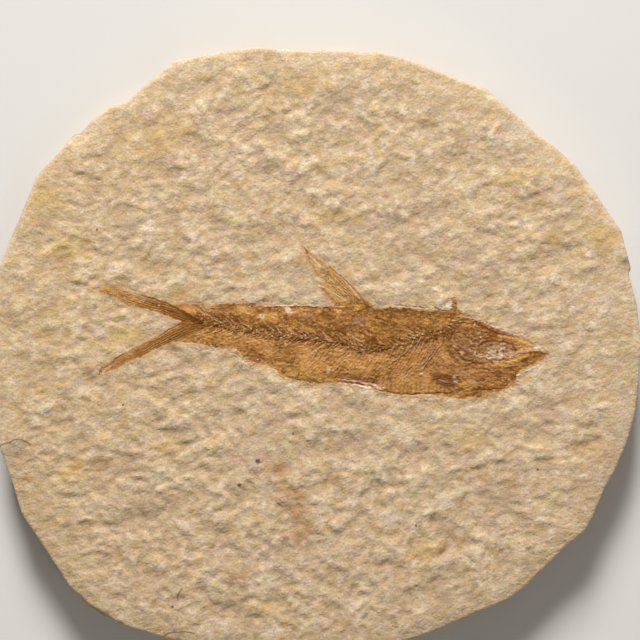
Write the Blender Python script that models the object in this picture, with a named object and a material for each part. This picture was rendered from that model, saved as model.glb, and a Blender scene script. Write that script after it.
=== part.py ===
"""A fossil fish slab: a thin, roughly round piece of bedded limestone with a nibbled rim, and the flattened
fish in its top bed. It lies on its back, with the fish's head towards +X and the fish's back towards +Y."""

import math

import bmesh
import bpy
import numpy as np
from mathutils import Vector, noise

MM = 0.001
TOUCH_GAP = 0.3 * MM  # left between the fish and the stone that holds it

# The slab: its rim as seen from above, in millimetres, clockwise from the upper left. Each straight run is
# one bite of the pincers that trimmed it.
RIM = (
    (-29.2, 39.1), (-25.8, 42.2), (-22.1, 45.3), (-18.1, 46.1), (-9.7, 47.5), (-2.9, 47.0), (5.5, 46.9),
    (8.0, 46.5), (9.5, 46.8), (14.2, 45.6), (22.2, 42.4), (26.4, 40.9), (31.7, 36.3), (34.1, 34.0),
    (37.3, 31.7), (40.1, 29.2), (43.2, 24.9), (45.2, 21.9), (47.3, 18.9), (48.9, 12.9), (48.5, 12.3),
    (49.7, 7.5), (50.5, 1.2), (50.1, -4.0), (49.6, -8.8), (48.4, -13.6), (46.7, -17.6), (44.7, -21.3),
    (43.1, -25.3), (41.5, -28.0), (38.8, -30.1), (35.5, -33.4), (32.5, -36.3), (29.8, -38.4),
    (22.9, -41.3), (20.5, -42.4), (15.4, -44.4), (6.7, -46.7), (-4.1, -47.5), (-15.7, -46.4),
    (-25.3, -43.9), (-30.8, -42.4), (-35.7, -39.4), (-38.7, -36.3), (-41.0, -32.3), (-43.3, -28.8),
    (-45.7, -25.2), (-46.7, -22.1), (-47.7, -19.2), (-49.1, -15.0), (-49.7, -7.4), (-50.5, 0.4),
    (-50.2, 7.0), (-49.1, 13.6), (-46.7, 19.6), (-44.8, 24.0), (-43.5, 27.4), (-42.3, 28.8),
    (-39.1, 32.2), (-37.7, 33.8), (-36.6, 34.1), (-35.0, 35.9), (-32.0, 38.3),
)
TOP = 6.75 * MM  # mean height of the top face
TOP_BUMP = 0.24 * MM  # how far the lumps of the top face rise and sink
BUMP_LENGTH = 4.4 * MM  # along the grain of the lumps
BUMP_WIDTH = 3.2 * MM
GRAIN_ANGLE = math.radians(13)  # of the lumps' long side, from +X towards +Y
RIM_BAND = 5.0 * MM  # the smoother strip inside the rim
RIM_CALM = 0.35  # share of the lumps' height that is left at the rim
RIM_DROP = 0.45 * MM  # how far the top face falls at the rim
DROP_WIDTH = 1.7 * MM  # the strip in which it falls
TOP_SPACING = 2.0 * MM  # between the points of the top face
EDGE_STEP = 3.2 * MM  # longest run of a bed's edge between two of its points
OVERSIZE = 2.0 * MM  # how far a plate or a cutter runs past what it is cut from or cuts

# The beds, from the floor up: height of the bed's top, how far its edge is broken back from the rim on
# average, how much that varies, and a number that makes each bed's edge its own.
BEDS = (
    (1.7 * MM, 1.2 * MM, 0.9 * MM, 11.3),
    (3.3 * MM, 0.5 * MM, 0.5 * MM, 23.7),
    (5.1 * MM, 0.0 * MM, 0.0 * MM, 0.0),
    (TOP + OVERSIZE, 0.3 * MM, 0.2 * MM, 41.9),
)
BED_LAP = 0.2 * MM  # how far each bed reaches into the one under it
RAGGED_LENGTH = 6.0 * MM  # of the waves in a bed's broken edge
SHELF_ANGLE = math.radians(229)  # the side where the lower beds stand out past the top one
SHELF_SPREAD = math.radians(7)
SHELF_WIDTH = 0.6 * MM
SHARPEST_CORNER = 0.55  # cosine of half a corner's turn past which a moved edge cuts the corner off

# Chips out of the upper edge: where, how far across and how deep, in millimetres.
CHIPS = (
    (49.6, 13.0, 2.6, 1.5), (8.0, 47.6, 2.4, 1.2), (-37.6, 34.9, 2.8, 1.6), (-44.8, 27.6, 2.2, 1.0),
    (41.6, -29.6, 3.0, 1.4), (-47.9, -20.6, 2.6, 1.2), (27.8, 41.2, 2.2, 1.0), (21.4, -43.0, 2.4, 1.1),
)

# The fish: its edge as seen from above, in millimetres, clockwise from the fork of the tail.
UPPER_LOBE = (
    (-20.9, 4.7), (-23.0, 5.5), (-25.4, 6.5), (-29.2, 7.4), (-31.4, 8.5), (-33.6, 9.2), (-33.9, 9.6),
    (-32.7, 10.7), (-31.3, 10.4), (-27.6, 9.1), (-25.6, 8.6), (-22.3, 7.6),
)
REAR_BACK = (
    (-19.5, 7.8), (-18.1, 7.5), (-16.5, 7.1), (-14.7, 7.5), (-10.4, 7.7), (-8.8, 7.2), (-5.5, 7.0),
    (0.5, 7.0), (3.0, 7.1),
)
DORSAL_FIN = (
    (1.5, 8.8), (0.4, 9.9), (0.5, 10.6), (-0.3, 12.1), (-0.6, 12.9), (-1.2, 14.1), (-1.6, 15.1),
    (-2.1, 16.4), (-1.0, 15.7), (1.0, 14.1), (3.1, 12.7), (5.0, 10.9), (6.2, 9.7), (8.5, 7.5),
)
FRONT_BACK = (
    (9.1, 6.8), (13.1, 6.9), (17.6, 6.4), (20.7, 6.5), (21.0, 8.0), (21.7, 8.0), (22.0, 6.5),
)
HEAD = (
    (23.8, 5.8), (26.3, 4.7), (27.8, 3.7), (29.6, 3.0), (32.6, 1.9), (34.2, 0.8), (35.8, -0.3),
    (35.2, -1.2), (33.9, -1.8), (31.3, -2.9), (30.5, -5.0), (28.2, -6.2), (25.7, -6.8), (22.7, -7.1),
)
BELLY = (
    (18.1, -6.5), (13.1, -6.6), (9.4, -5.7), (8.0, -5.1), (4.0, -4.9), (0.4, -4.9), (-4.0, -4.1),
    (-5.8, -3.4), (-7.0, -2.2), (-10.0, -1.6), (-11.6, -0.3), (-12.4, 0.4), (-15.3, 0.7), (-18.7, 1.3),
)
LOWER_LOBE = (
    (-21.5, 1.7), (-24.0, 1.0), (-27.2, -0.7), (-30.7, -2.0), (-31.1, -2.6), (-33.1, -3.3), (-33.6, -3.5),
    (-33.5, -2.8), (-32.4, -1.8), (-29.2, -0.1), (-25.6, 1.9), (-22.5, 4.1),
)
FISH_EDGE = UPPER_LOBE + REAR_BACK + DORSAL_FIN + FRONT_BACK + HEAD + BELLY + LOWER_LOBE
FISH_UNDERSIDE = 6.0 * MM
FISH_RIM_TOP = 6.45 * MM  # height of the fish at its edge, a little below the stone
FISH_DOME = 0.2 * MM  # how much higher the flesh lies away from the edge
DOME_WIDTH = 2.0 * MM
FISH_SPACING = 0.8 * MM  # between the points of the fish's upper face

BACKBONE = (
    (-18.1, 4.9), (-13.0, 3.9), (-7.8, 3.0), (-1.9, 2.4), (3.5, 1.7), (7.2, 0.4), (10.9, 0.9),
    (15.4, 2.0), (19.8, 3.2), (22.1, 3.8),
)
JAW = ((28.2, -3.0), (31.0, -1.6), (34.6, -0.8))
GILL_COVER = ((21.6, 3.0), (19.9, 0.6), (19.8, -2.4), (21.6, -5.2))
TAIL_RAYS = ((-32.8, 9.9), (-25.4, 7.5), (-18.2, 4.9), (-25.6, 1.0), (-32.6, -2.6))
FIN_RAY = ((8.2, 7.2), (3.6, 11.2), (-1.0, 14.9))
# Raised lines of the fish: the line, how high it stands and half its width.
RIDGES = (
    (BACKBONE, 0.24 * MM, 0.8 * MM),
    (JAW, 0.16 * MM, 0.7 * MM),
    (GILL_COVER, 0.14 * MM, 0.7 * MM),
    (TAIL_RAYS, 0.14 * MM, 0.7 * MM),
    (FIN_RAY, 0.12 * MM, 0.9 * MM),
)
EYE_SOCKET = (27.6, 0.4)
SOCKET_RADIUS = 1.9 * MM
SOCKET_DEPTH = 0.26 * MM

STONE_COLOUR = (0.58, 0.43, 0.26, 1.0)
STONE_ROUGHNESS = 0.88
FISH_COLOUR = (0.37, 0.18, 0.06, 1.0)
FISH_ROUGHNESS = 0.6


def clear_scene():
    for obj in list(bpy.data.objects):
        bpy.data.objects.remove(obj, do_unlink=True)


def new_collection(name):
    collection = bpy.data.collections.new(name)
    bpy.context.scene.collection.children.link(collection)
    return collection


def material(name, colour, roughness):
    made = bpy.data.materials.new(name)
    made.use_nodes = True
    shader = made.node_tree.nodes["Principled BSDF"]
    shader.inputs["Base Color"].default_value = colour
    shader.inputs["Roughness"].default_value = roughness
    shader.inputs["Metallic"].default_value = 0.0
    return made


def in_metres(points):
    return [Vector((x * MM, y * MM)) for x, y in points]


def distance_to(points, place, closed=False):
    """How far a place in plan is from a line through these points."""
    starts = np.array(points)
    ends = np.roll(starts, -1, axis=0)
    if not closed:
        starts, ends = starts[:-1], ends[:-1]
    along = ends - starts
    share = ((np.array(place) - starts) * along).sum(axis=1) / (along * along).sum(axis=1)
    nearest = starts + along * np.clip(share, 0.0, 1.0)[:, None]
    return float(np.hypot(*(nearest - np.array(place)).T).min())


def smooth_step(low, high, value):
    share = min(max((value - low) / (high - low), 0.0), 1.0)
    return share * share * (3.0 - 2.0 * share)


def outward(before, here, after):
    """The direction away from a clockwise edge at one of its points, and the cosine of half its turn."""
    first = (here - before).normalized()
    second = (after - here).normalized()
    normal = Vector((-first.y - second.y, first.x + second.x))
    if normal.length < 1e-6:
        normal = -first
    normal.normalize()
    return normal, abs(normal.dot(Vector((-first.y, first.x))))


def moved_edge(points, offset_at):
    """A clockwise edge with each point moved outwards by what offset_at gives for it."""
    moved = []
    for i, here in enumerate(points):
        normal, cosine = outward(points[i - 1], here, points[(i + 1) % len(points)])
        moved.append(here + normal * offset_at(here) / max(cosine, SHARPEST_CORNER))
    return moved


def subdivided(points, step):
    """The same edge with points added so that none is further than step from the next."""
    found = []
    for start, end in zip(points, points[1:] + points[:1]):
        count = max(1, round((end - start).length / step))
        found += [start.lerp(end, i / count) for i in range(count)]
    return found


def prism(name, points, low, high, collection):
    """A mesh object with this edge, upright sides and flat ends."""
    curve = bpy.data.curves.new(name + "_edge", "CURVE")
    curve.dimensions = "2D"
    curve.fill_mode = "BOTH"
    curve.extrude = (high - low) / 2
    spline = curve.splines.new("POLY")
    spline.points.add(len(points) - 1)
    for spline_point, place in zip(spline.points, points):
        spline_point.co = (place.x, place.y, 0.0, 1.0)
    spline.use_cyclic_u = True
    drawn = bpy.data.objects.new(name + "_edge", curve)
    drawn.location.z = (low + high) / 2
    collection.objects.link(drawn)
    bpy.context.view_layer.update()
    graph = bpy.context.evaluated_depsgraph_get()
    mesh = bpy.data.meshes.new_from_object(drawn.evaluated_get(graph))
    mesh.transform(drawn.matrix_world)
    bpy.data.objects.remove(drawn, do_unlink=True)
    shape = bmesh.new()
    shape.from_mesh(mesh)
    bmesh.ops.remove_doubles(shape, verts=shape.verts, dist=1e-6)
    bmesh.ops.recalc_face_normals(shape, faces=shape.faces)
    shape.to_mesh(mesh)
    shape.free()
    made = bpy.data.objects.new(name, mesh)
    collection.objects.link(made)
    return made


def plan_box(points):
    """The lowest and highest corner of a box in plan that runs past all these points."""
    past = Vector((OVERSIZE, OVERSIZE))
    low = Vector((min(p.x for p in points), min(p.y for p in points)))
    high = Vector((max(p.x for p in points), max(p.y for p in points)))
    return low - past, high + past


def relief_plate(name, low_corner, high_corner, spacing, height_at, underside, collection):
    """A plate with a flat underside whose upper face follows height_at."""
    middle = (low_corner + high_corner) / 2
    size = high_corner - low_corner
    columns = math.ceil(size.x / spacing)
    rows = math.ceil(size.y / spacing)
    shape = bmesh.new()
    bmesh.ops.create_grid(shape, x_segments=columns, y_segments=rows, size=0.5)
    top = list(shape.verts)
    for vert in top:
        vert.co.x = middle.x + vert.co.x * size.x
        vert.co.y = middle.y + vert.co.y * size.y
        vert.co.z = height_at(vert.co.x, vert.co.y)
    sides = bmesh.ops.extrude_edge_only(shape, edges=[e for e in shape.edges if e.is_boundary])
    lowered = [part for part in sides["geom"] if isinstance(part, bmesh.types.BMVert)]
    for vert in lowered:
        vert.co.z = underside
    bmesh.ops.contextual_create(shape, geom=[e for e in shape.edges if e.is_boundary])
    bmesh.ops.recalc_face_normals(shape, faces=shape.faces)
    mesh = bpy.data.meshes.new(name)
    shape.to_mesh(mesh)
    shape.free()
    made = bpy.data.objects.new(name, mesh)
    collection.objects.link(made)
    return made


def chip(name, place, collection):
    """A shallow bowl that is cut from the upper edge of the slab."""
    x, y, across, depth = (value * MM for value in place)
    shape = bmesh.new()
    bmesh.ops.create_icosphere(shape, subdivisions=2, radius=1.0)
    bmesh.ops.scale(shape, verts=shape.verts, vec=(across, across, depth))
    bmesh.ops.translate(shape, verts=shape.verts, vec=(x, y, TOP))
    mesh = bpy.data.meshes.new(name)
    shape.to_mesh(mesh)
    shape.free()
    made = bpy.data.objects.new(name, mesh)
    collection.objects.link(made)
    return made


def boolean(obj, operation, other):
    step = obj.modifiers.new(f"{operation.lower()}_{other.name}", "BOOLEAN")
    step.operation = operation
    step.object = other
    step.solver = "MANIFOLD"


def as_cutter(obj):
    obj.hide_render = True
    obj.display_type = "WIRE"
    return obj


def lumps(x, y):
    """The lumps of the bedding face, from about -1 to 1."""
    along = x * math.cos(GRAIN_ANGLE) + y * math.sin(GRAIN_ANGLE)
    across = y * math.cos(GRAIN_ANGLE) - x * math.sin(GRAIN_ANGLE)
    place = Vector((along / BUMP_LENGTH, across / BUMP_WIDTH, 0.0))
    finer = 2.1
    return noise.noise(place) + noise.noise(place * finer) / finer


def slab_height(x, y):
    """Height of the stone's top face: lumpy inside, calmer and lower at the rim."""
    inside = distance_to(in_metres(RIM), (x, y), closed=True)
    calm = RIM_CALM + (1.0 - RIM_CALM) * smooth_step(0.0, RIM_BAND, inside)
    return TOP + TOP_BUMP * calm * lumps(x, y) - RIM_DROP * math.exp(-inside / DROP_WIDTH)


def bed_setback(place, mean, spread, seed, is_top):
    """How far a bed's edge is broken back from the rim at this place."""
    ragged = 2 * noise.noise(Vector((place.x / RAGGED_LENGTH, place.y / RAGGED_LENGTH, seed)))
    setback = max(mean + spread * ragged, 0.0)
    if is_top:
        turn = math.atan2(place.y, place.x) % (2 * math.pi) - SHELF_ANGLE
        setback += SHELF_WIDTH * math.exp(-(turn / SHELF_SPREAD) ** 2)
    return setback


def beds(collection):
    """The stack of beds, each with its own broken edge, as one cutter."""
    edge = subdivided(in_metres(RIM), EDGE_STEP)
    stack = None
    floor = 0.0
    for number, (top, mean, spread, seed) in enumerate(BEDS, start=1):
        is_top = number == len(BEDS)
        broken = moved_edge(edge, lambda place: -bed_setback(place, mean, spread, seed, is_top))
        low = max(floor - BED_LAP, 0.0)
        bed = as_cutter(prism(f"bed_{number}", broken, low, top, collection))
        if stack is None:
            stack = bed
        else:
            boolean(stack, "UNION", bed)
        floor = top
    return stack


def limestone_slab(parts, cutters, stone):
    low, high = plan_box(in_metres(RIM))
    slab = relief_plate("limestone_slab", low, high, TOP_SPACING, slab_height, -OVERSIZE, parts)
    boolean(slab, "INTERSECT", beds(cutters))
    for number, place in enumerate(CHIPS, start=1):
        boolean(slab, "DIFFERENCE", as_cutter(chip(f"chip_{number}", place, cutters)))
    pocket_edge = moved_edge(in_metres(FISH_EDGE), lambda place: TOUCH_GAP)
    pocket = prism("fish_pocket", pocket_edge, FISH_UNDERSIDE - TOUCH_GAP, TOP + OVERSIZE, cutters)
    boolean(slab, "DIFFERENCE", as_cutter(pocket))
    slab.data.materials.append(stone)
    return slab


def fish_height(x, y):
    """Height of the fish's upper face: domed, with its backbone and head bones raised."""
    inside = distance_to(in_metres(FISH_EDGE), (x, y), closed=True)
    height = FISH_RIM_TOP + FISH_DOME * smooth_step(0.0, DOME_WIDTH, inside)
    for line, rise, half_width in RIDGES:
        away = distance_to(in_metres(line), (x, y))
        height += rise * math.exp(-(away / half_width) ** 2)
    from_socket = math.hypot(x - EYE_SOCKET[0] * MM, y - EYE_SOCKET[1] * MM)
    return height - SOCKET_DEPTH * math.exp(-(from_socket / SOCKET_RADIUS) ** 4)


def fossil_fish(parts, cutters, bone):
    edge = in_metres(FISH_EDGE)
    low, high = plan_box(edge)
    below = FISH_UNDERSIDE - OVERSIZE
    fish = relief_plate("fossil_fish", low, high, FISH_SPACING, fish_height, below, parts)
    outline = prism("fish_outline", edge, FISH_UNDERSIDE, TOP + OVERSIZE, cutters)
    boolean(fish, "INTERSECT", as_cutter(outline))
    fish.data.materials.append(bone)
    return fish


def main():
    clear_scene()
    parts = new_collection("fossil_fish_slab")
    cutters = new_collection("cutters")
    limestone_slab(parts, cutters, material("limestone", STONE_COLOUR, STONE_ROUGHNESS))
    fossil_fish(parts, cutters, material("fossil_bone", FISH_COLOUR, FISH_ROUGHNESS))


main()
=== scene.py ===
"""The looks of the fossil fish slab: a lumpy, mottled piece of bedded limestone and the flattened fish in it.

Outlines and places are in millimetres in the part's own frame: +X towards the fish's head, +Y towards its
back, +Z up out of the face that shows it. Meshes are made in metres from them."""

import itertools
import math

import bmesh
import bpy
import numpy as np
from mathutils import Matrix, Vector, geometry
from mathutils.bvhtree import BVHTree


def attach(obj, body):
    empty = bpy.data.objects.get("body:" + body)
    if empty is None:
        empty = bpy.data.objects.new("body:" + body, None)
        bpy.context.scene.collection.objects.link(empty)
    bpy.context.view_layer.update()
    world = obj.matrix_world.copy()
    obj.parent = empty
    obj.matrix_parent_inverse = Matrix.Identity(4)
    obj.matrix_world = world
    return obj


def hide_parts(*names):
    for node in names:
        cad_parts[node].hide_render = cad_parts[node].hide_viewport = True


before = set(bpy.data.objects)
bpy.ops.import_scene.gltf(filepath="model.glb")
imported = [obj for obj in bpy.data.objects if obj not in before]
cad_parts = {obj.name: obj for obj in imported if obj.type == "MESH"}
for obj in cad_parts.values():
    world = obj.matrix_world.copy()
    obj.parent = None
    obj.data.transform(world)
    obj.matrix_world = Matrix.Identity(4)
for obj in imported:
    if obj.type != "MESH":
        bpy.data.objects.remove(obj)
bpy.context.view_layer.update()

MM = 0.001
PHOTO_WIDTH = 640  # pixels, and as many high
MM_PER_PIXEL = 0.155  # at the slab's top face

# The slab's rim as seen from above, clockwise from the upper left, with a point at each bite of the pincers.
RIM = (
    (-29.2, 39.1), (-25.8, 42.2), (-22.1, 45.3), (-18.1, 46.1), (-9.7, 47.5), (-2.9, 47), (5.5, 46.9),
    (8, 46.5), (9.5, 46.8), (14.2, 45.6), (22.2, 42.4), (26.4, 40.9), (31.7, 36.3), (34.1, 34),
    (37.3, 31.7), (40.1, 29.2), (43.2, 24.9), (45.2, 21.9), (47.3, 18.9), (48.9, 12.9), (48.5, 12.3),
    (49.7, 7.5), (50.5, 1.2), (50.1, -4), (49.6, -8.8), (48.4, -13.6), (46.7, -17.6), (44.7, -21.3),
    (43.1, -25.3), (41.5, -28), (38.8, -30.1), (35.5, -33.4), (32.5, -36.3), (29.8, -38.4), (22.9, -41.3),
    (20.5, -42.4), (15.4, -44.4), (6.7, -46.7), (-4.1, -47.5), (-15.7, -46.4), (-25.3, -43.9),
    (-30.8, -42.4), (-35.7, -39.4), (-38.7, -36.3), (-41, -32.3), (-43.3, -28.8), (-45.7, -25.2),
    (-46.7, -22.1), (-47.7, -19.2), (-49.1, -15), (-49.7, -7.4), (-50.5, 0.4), (-50.2, 7), (-49.1, 13.6),
    (-46.7, 19.6), (-44.8, 24), (-43.5, 27.4), (-42.3, 28.8), (-39.1, 32.2), (-37.7, 33.8), (-36.6, 34.1),
    (-35, 35.9), (-32, 38.3),
)
TOP = 6.67  # mean height of the top face
GRAIN_TURN = 13  # degrees from +X towards +Y to the lumps' long side

# The fish's edge as seen from above, clockwise from the fork of the tail.
UPPER_LOBE = (
    (-20.9, 4.7), (-23, 5.5), (-25.4, 6.5), (-29.2, 7.4), (-31.4, 8.5), (-33.6, 9.2), (-33.9, 9.6),
    (-32.7, 10.7), (-31.3, 10.4), (-27.6, 9.1), (-25.6, 8.6), (-22.3, 7.6),
)
REAR_BACK = (
    (-19.5, 7.8), (-18.1, 7.5), (-16.5, 7.1), (-14.7, 7.5), (-10.4, 7.7), (-8.8, 7.2), (-5.5, 7),
    (0.5, 7), (3, 7.1),
)
DORSAL_FIN = (
    (1.5, 8.8), (0.4, 9.9), (0.5, 10.6), (-0.3, 12.1), (-0.6, 12.9), (-1.2, 14.1), (-1.6, 15.1),
    (-2.1, 16.4), (-1, 15.7), (1, 14.1), (3.1, 12.7), (5, 10.9), (6.2, 9.7), (8.5, 7.5),
)
FRONT_BACK = (
    (9.1, 6.8), (13.1, 6.9), (17.6, 6.4), (20.7, 6.5), (21, 8), (21.7, 8), (22, 6.5),
)
HEAD = (
    (23.8, 5.8), (26.3, 4.7), (27.8, 3.7), (29.6, 3), (32.6, 1.9), (34.2, 0.8), (35.8, -0.3),
    (35.2, -1.2), (33.9, -1.8), (31.3, -2.9), (30.5, -5), (28.2, -6.2), (25.7, -6.8), (22.7, -7.1),
)
BELLY = (
    (18.1, -6.5), (13.1, -6.6), (9.4, -5.7), (8, -5.1), (4, -4.9), (0.4, -4.9), (-4, -4.1), (-5.8, -3.4),
    (-7, -2.2), (-10, -1.6), (-11.6, -0.3), (-12.4, 0.4), (-15.3, 0.7), (-18.7, 1.3),
)
LOWER_LOBE = (
    (-21.5, 1.7), (-24, 1), (-27.2, -0.7), (-30.7, -2), (-31.1, -2.6), (-33.1, -3.3), (-33.6, -3.5),
    (-33.5, -2.8), (-32.4, -1.8), (-29.2, -0.1), (-25.6, 1.9), (-22.5, 4.1),
)
FISH_EDGE = UPPER_LOBE + REAR_BACK + DORSAL_FIN + FRONT_BACK + HEAD + BELLY + LOWER_LOBE
BACKBONE = (
    (-18.1, 4.9), (-13, 3.9), (-7.8, 3), (-1.9, 2.4), (3.5, 1.7), (7.2, 0.4), (10.9, 0.9), (15.4, 2),
    (19.8, 3.2), (22.1, 3.8),
)


# Noise and places

CELL_PRIMES = (73856093, 19349663, 83492791)
SEED_PRIME = 2654435761
MIXERS = ((15, 2246822519), (13, 3266489917))  # a shift in bits and a multiplier
WORD = 0xFFFFFFFF
GRADIENT_COUNT = 32
GRADIENTS = np.random.default_rng(5).normal(size=(GRADIENT_COUNT, 3))
GRADIENTS /= np.linalg.norm(GRADIENTS, axis=1)[:, None]
NOISE_GAIN = 1.6
LAYER_STEP = 2.03  # how much finer each layer of noise is than the one before


def hashed(cells, seed):
    """A repeatable number, below the count of gradients, for each cell of a lattice."""
    a, b, c = (whole.astype(np.uint64) * prime for whole, prime in zip(cells, CELL_PRIMES))
    mixed = ((a ^ b ^ c) + seed * SEED_PRIME) & WORD
    for shift, prime in MIXERS:
        mixed = ((mixed ^ (mixed >> np.uint64(shift))) * prime) & WORD
    return ((mixed ^ (mixed >> np.uint64(16))) & (GRADIENT_COUNT - 1)).astype(np.int64)


def noise(x, y, z=0, seed=0):
    """Smooth noise, about -1 to 1, with lumps about one unit across."""
    place = np.broadcast_arrays(*(np.asarray(v, float) for v in (x, y, z)))
    whole = [np.floor(v).astype(np.int64) for v in place]
    part = [v - w for v, w in zip(place, whole)]
    fade = [p * p * p * (p * (p * 6 - 15) + 10) for p in part]
    total = np.zeros(place[0].shape)
    for corner in itertools.product((0, 1), repeat=3):
        gradient = GRADIENTS[hashed([w + c for w, c in zip(whole, corner)], seed)]
        slope = sum(gradient[..., k] * (part[k] - corner[k]) for k in range(3))
        total += slope * math.prod(f if c else 1 - f for f, c in zip(fade, corner))
    return total * NOISE_GAIN


def layered(x, y, z=0, seed=0, octaves=4, keep=0.5):
    """Noise with finer and finer layers, each keep times the one before."""
    total, size, scale = 0, 1, 1
    for octave in range(octaves):
        total = total + size * noise(x * scale, y * scale, z * scale, seed + octave)
        size *= keep
        scale *= LAYER_STEP
    return total


def turned(x, y, degrees):
    """Places measured along a way that is turned this far from +X, and across it."""
    c, s = math.cos(math.radians(degrees)), math.sin(math.radians(degrees))
    return x * c + y * s, y * c - x * s


def grain(x, y, length=1, width=1):
    """Places turned to the grain of the lumps and measured in lump lengths and widths."""
    along, across = turned(x, y, GRAIN_TURN)
    return along / length, across / width


def smooth_step(low, high, value):
    share = np.clip((value - low) / (high - low), 0, 1)
    return share * share * (3 - 2 * share)


def off_segment(start, end, x, y):
    """The share of a straight piece that is nearest to each place, and the way from there to the place."""
    dx, dy = end[0] - start[0], end[1] - start[1]
    share = np.clip(((x - start[0]) * dx + (y - start[1]) * dy) / (dx * dx + dy * dy), 0, 1)
    return share, x - start[0] - share * dx, y - start[1] - share * dy


def depth_inside(points, x, y):
    """How far inside a closed edge each place is, below zero outside."""
    nearest = np.full(np.shape(x), np.inf)
    inside = np.zeros(np.shape(x), bool)
    starts = np.array(points, float)
    for (ax, ay), (bx, by) in zip(starts, np.roll(starts, -1, axis=0)):
        _, dx, dy = off_segment((ax, ay), (bx, by), x, y)
        nearest = np.minimum(nearest, dx ** 2 + dy ** 2)
        if ay != by:
            crosses = (ay > y) != (by > y)
            inside ^= crosses & (x < ax + (y - ay) * (bx - ax) / (by - ay))
    return np.where(inside, 1, -1) * np.sqrt(nearest)


def smoothed(points, count):
    """Points along a smooth curve through these ones."""
    given = np.array(points, float)
    last = len(given) - 1
    found = []
    for t in np.linspace(0, last, count):
        i = min(int(t), last - 1)
        f = t - i
        a, b, c, d = (given[min(max(i + k, 0), last)] for k in (-1, 0, 1, 2))
        cubic = (3 * b - a - 3 * c + d) * f ** 3
        found.append(0.5 * (2 * b + (c - a) * f + (2 * a - 5 * b + 4 * c - d) * f * f + cubic))
    return np.array(found)


def height_on(path, x):
    """The height in plan of an open path at x."""
    return np.interp(x, [p[0] for p in path], [p[1] for p in path])


# The stone's surface

# Bites of the pincers: place, reach and depth.
CHIPS = (
    (49.6, 13, 2.6, 0.9), (8, 47.6, 2.4, 0.7), (-37.6, 34.9, 2.8, 0.9), (-44.8, 27.6, 2.2, 0.7),
    (41.6, -29.6, 2.4, 0.5), (-47.9, -20.6, 2, 0.5), (27.8, 41.2, 2.2, 0.7), (21.4, -43, 2, 0.5),
)
RIM_BAND = 7  # the smoother strip inside the rim
RIM_CALM = 0.3  # share of the lumps' height left at the rim
RIM_DROP = 0.42  # of the face at its rim
DROP_WIDTH = 1.7
POCKET_DEPTH = 0.35  # of the hollow that holds the fish
POCKET_MARGIN = 0.2  # how far the hollow runs past the fish's edge
POCKET_SLOPE = 0.3  # the width of its side
SOFT_LIMIT = 6.86  # of the lumps' tops, which round over above it
SOFT_SPAN = 0.11
PREPARED_WIDTH = 1.6  # the strip round the fish that was cleaned smooth
PREPARED_CALM = 0.45
FAR = 9  # a place this far inside an edge is out of its reach
LEVEL_NOISE = 0.27  # size of the noise at which bumps and crumbs are level with the face


def lumps(x, y):
    """Relief of the bedding face, in millimetres, without the slab's own shape."""
    for sway, size, seed in ((0.7, 5, 17), (0.45, 1.7, 19)):
        x, y = (v + sway * noise(x / size, y / size, seed=seed + k) for k, v in enumerate((x, y)))
    coarse = noise(*grain(x, y, 3.8, 4.2), seed=11)
    middle = noise(*grain(x, y, 1.7, 1.95), seed=12)
    bumps = abs(noise(*grain(x, y, 2, 2.3), seed=16)) - LEVEL_NOISE
    crumbs = LEVEL_NOISE - abs(noise(*grain(x, y, 1.35, 1.4), seed=21))
    fine = noise(*grain(x, y, 0.95, 1.1), seed=13)
    pebbles = smooth_step(4, -24, y) * noise(x / 1.15, y / 1.05, seed=22)
    patchy = 0.92 + 0.35 * noise(x / 9, y / 9, seed=14)
    patchy = patchy + 0.12 * smooth_step(10, -30, y) - 0.2 * smooth_step(5, 40, x)
    relief = 0.31 * coarse + 0.17 * middle + 0.28 * bumps + 0.17 * crumbs + 0.06 * fine + 0.11 * pebbles
    return patchy * relief


def stone_surface(x, y, rim_depth, fish_depth):
    """Height of the stone's face and its relief, in millimetres."""
    calm = RIM_CALM + (1 - RIM_CALM) * smooth_step(0, RIM_BAND, rim_depth)
    calm = calm * (PREPARED_CALM + (1 - PREPARED_CALM) * smooth_step(0, PREPARED_WIDTH, -fish_depth))
    relief = calm * lumps(x, y)
    swell = 0.05 * noise(x / 17, y / 17, seed=15)
    height = TOP + swell + relief - RIM_DROP * np.exp(-np.maximum(rim_depth, 0) / DROP_WIDTH)
    for cx, cy, across, depth in CHIPS:
        reach = np.clip(1 - ((x - cx) ** 2 + (y - cy) ** 2) / across ** 2, 0, None)
        height = np.where(reach > 0, np.minimum(height, TOP - depth * np.sqrt(reach) + relief), height)
    over = np.maximum(height - SOFT_LIMIT, 0)
    return np.minimum(height, SOFT_LIMIT) + SOFT_SPAN * np.tanh(over / SOFT_SPAN), relief


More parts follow.
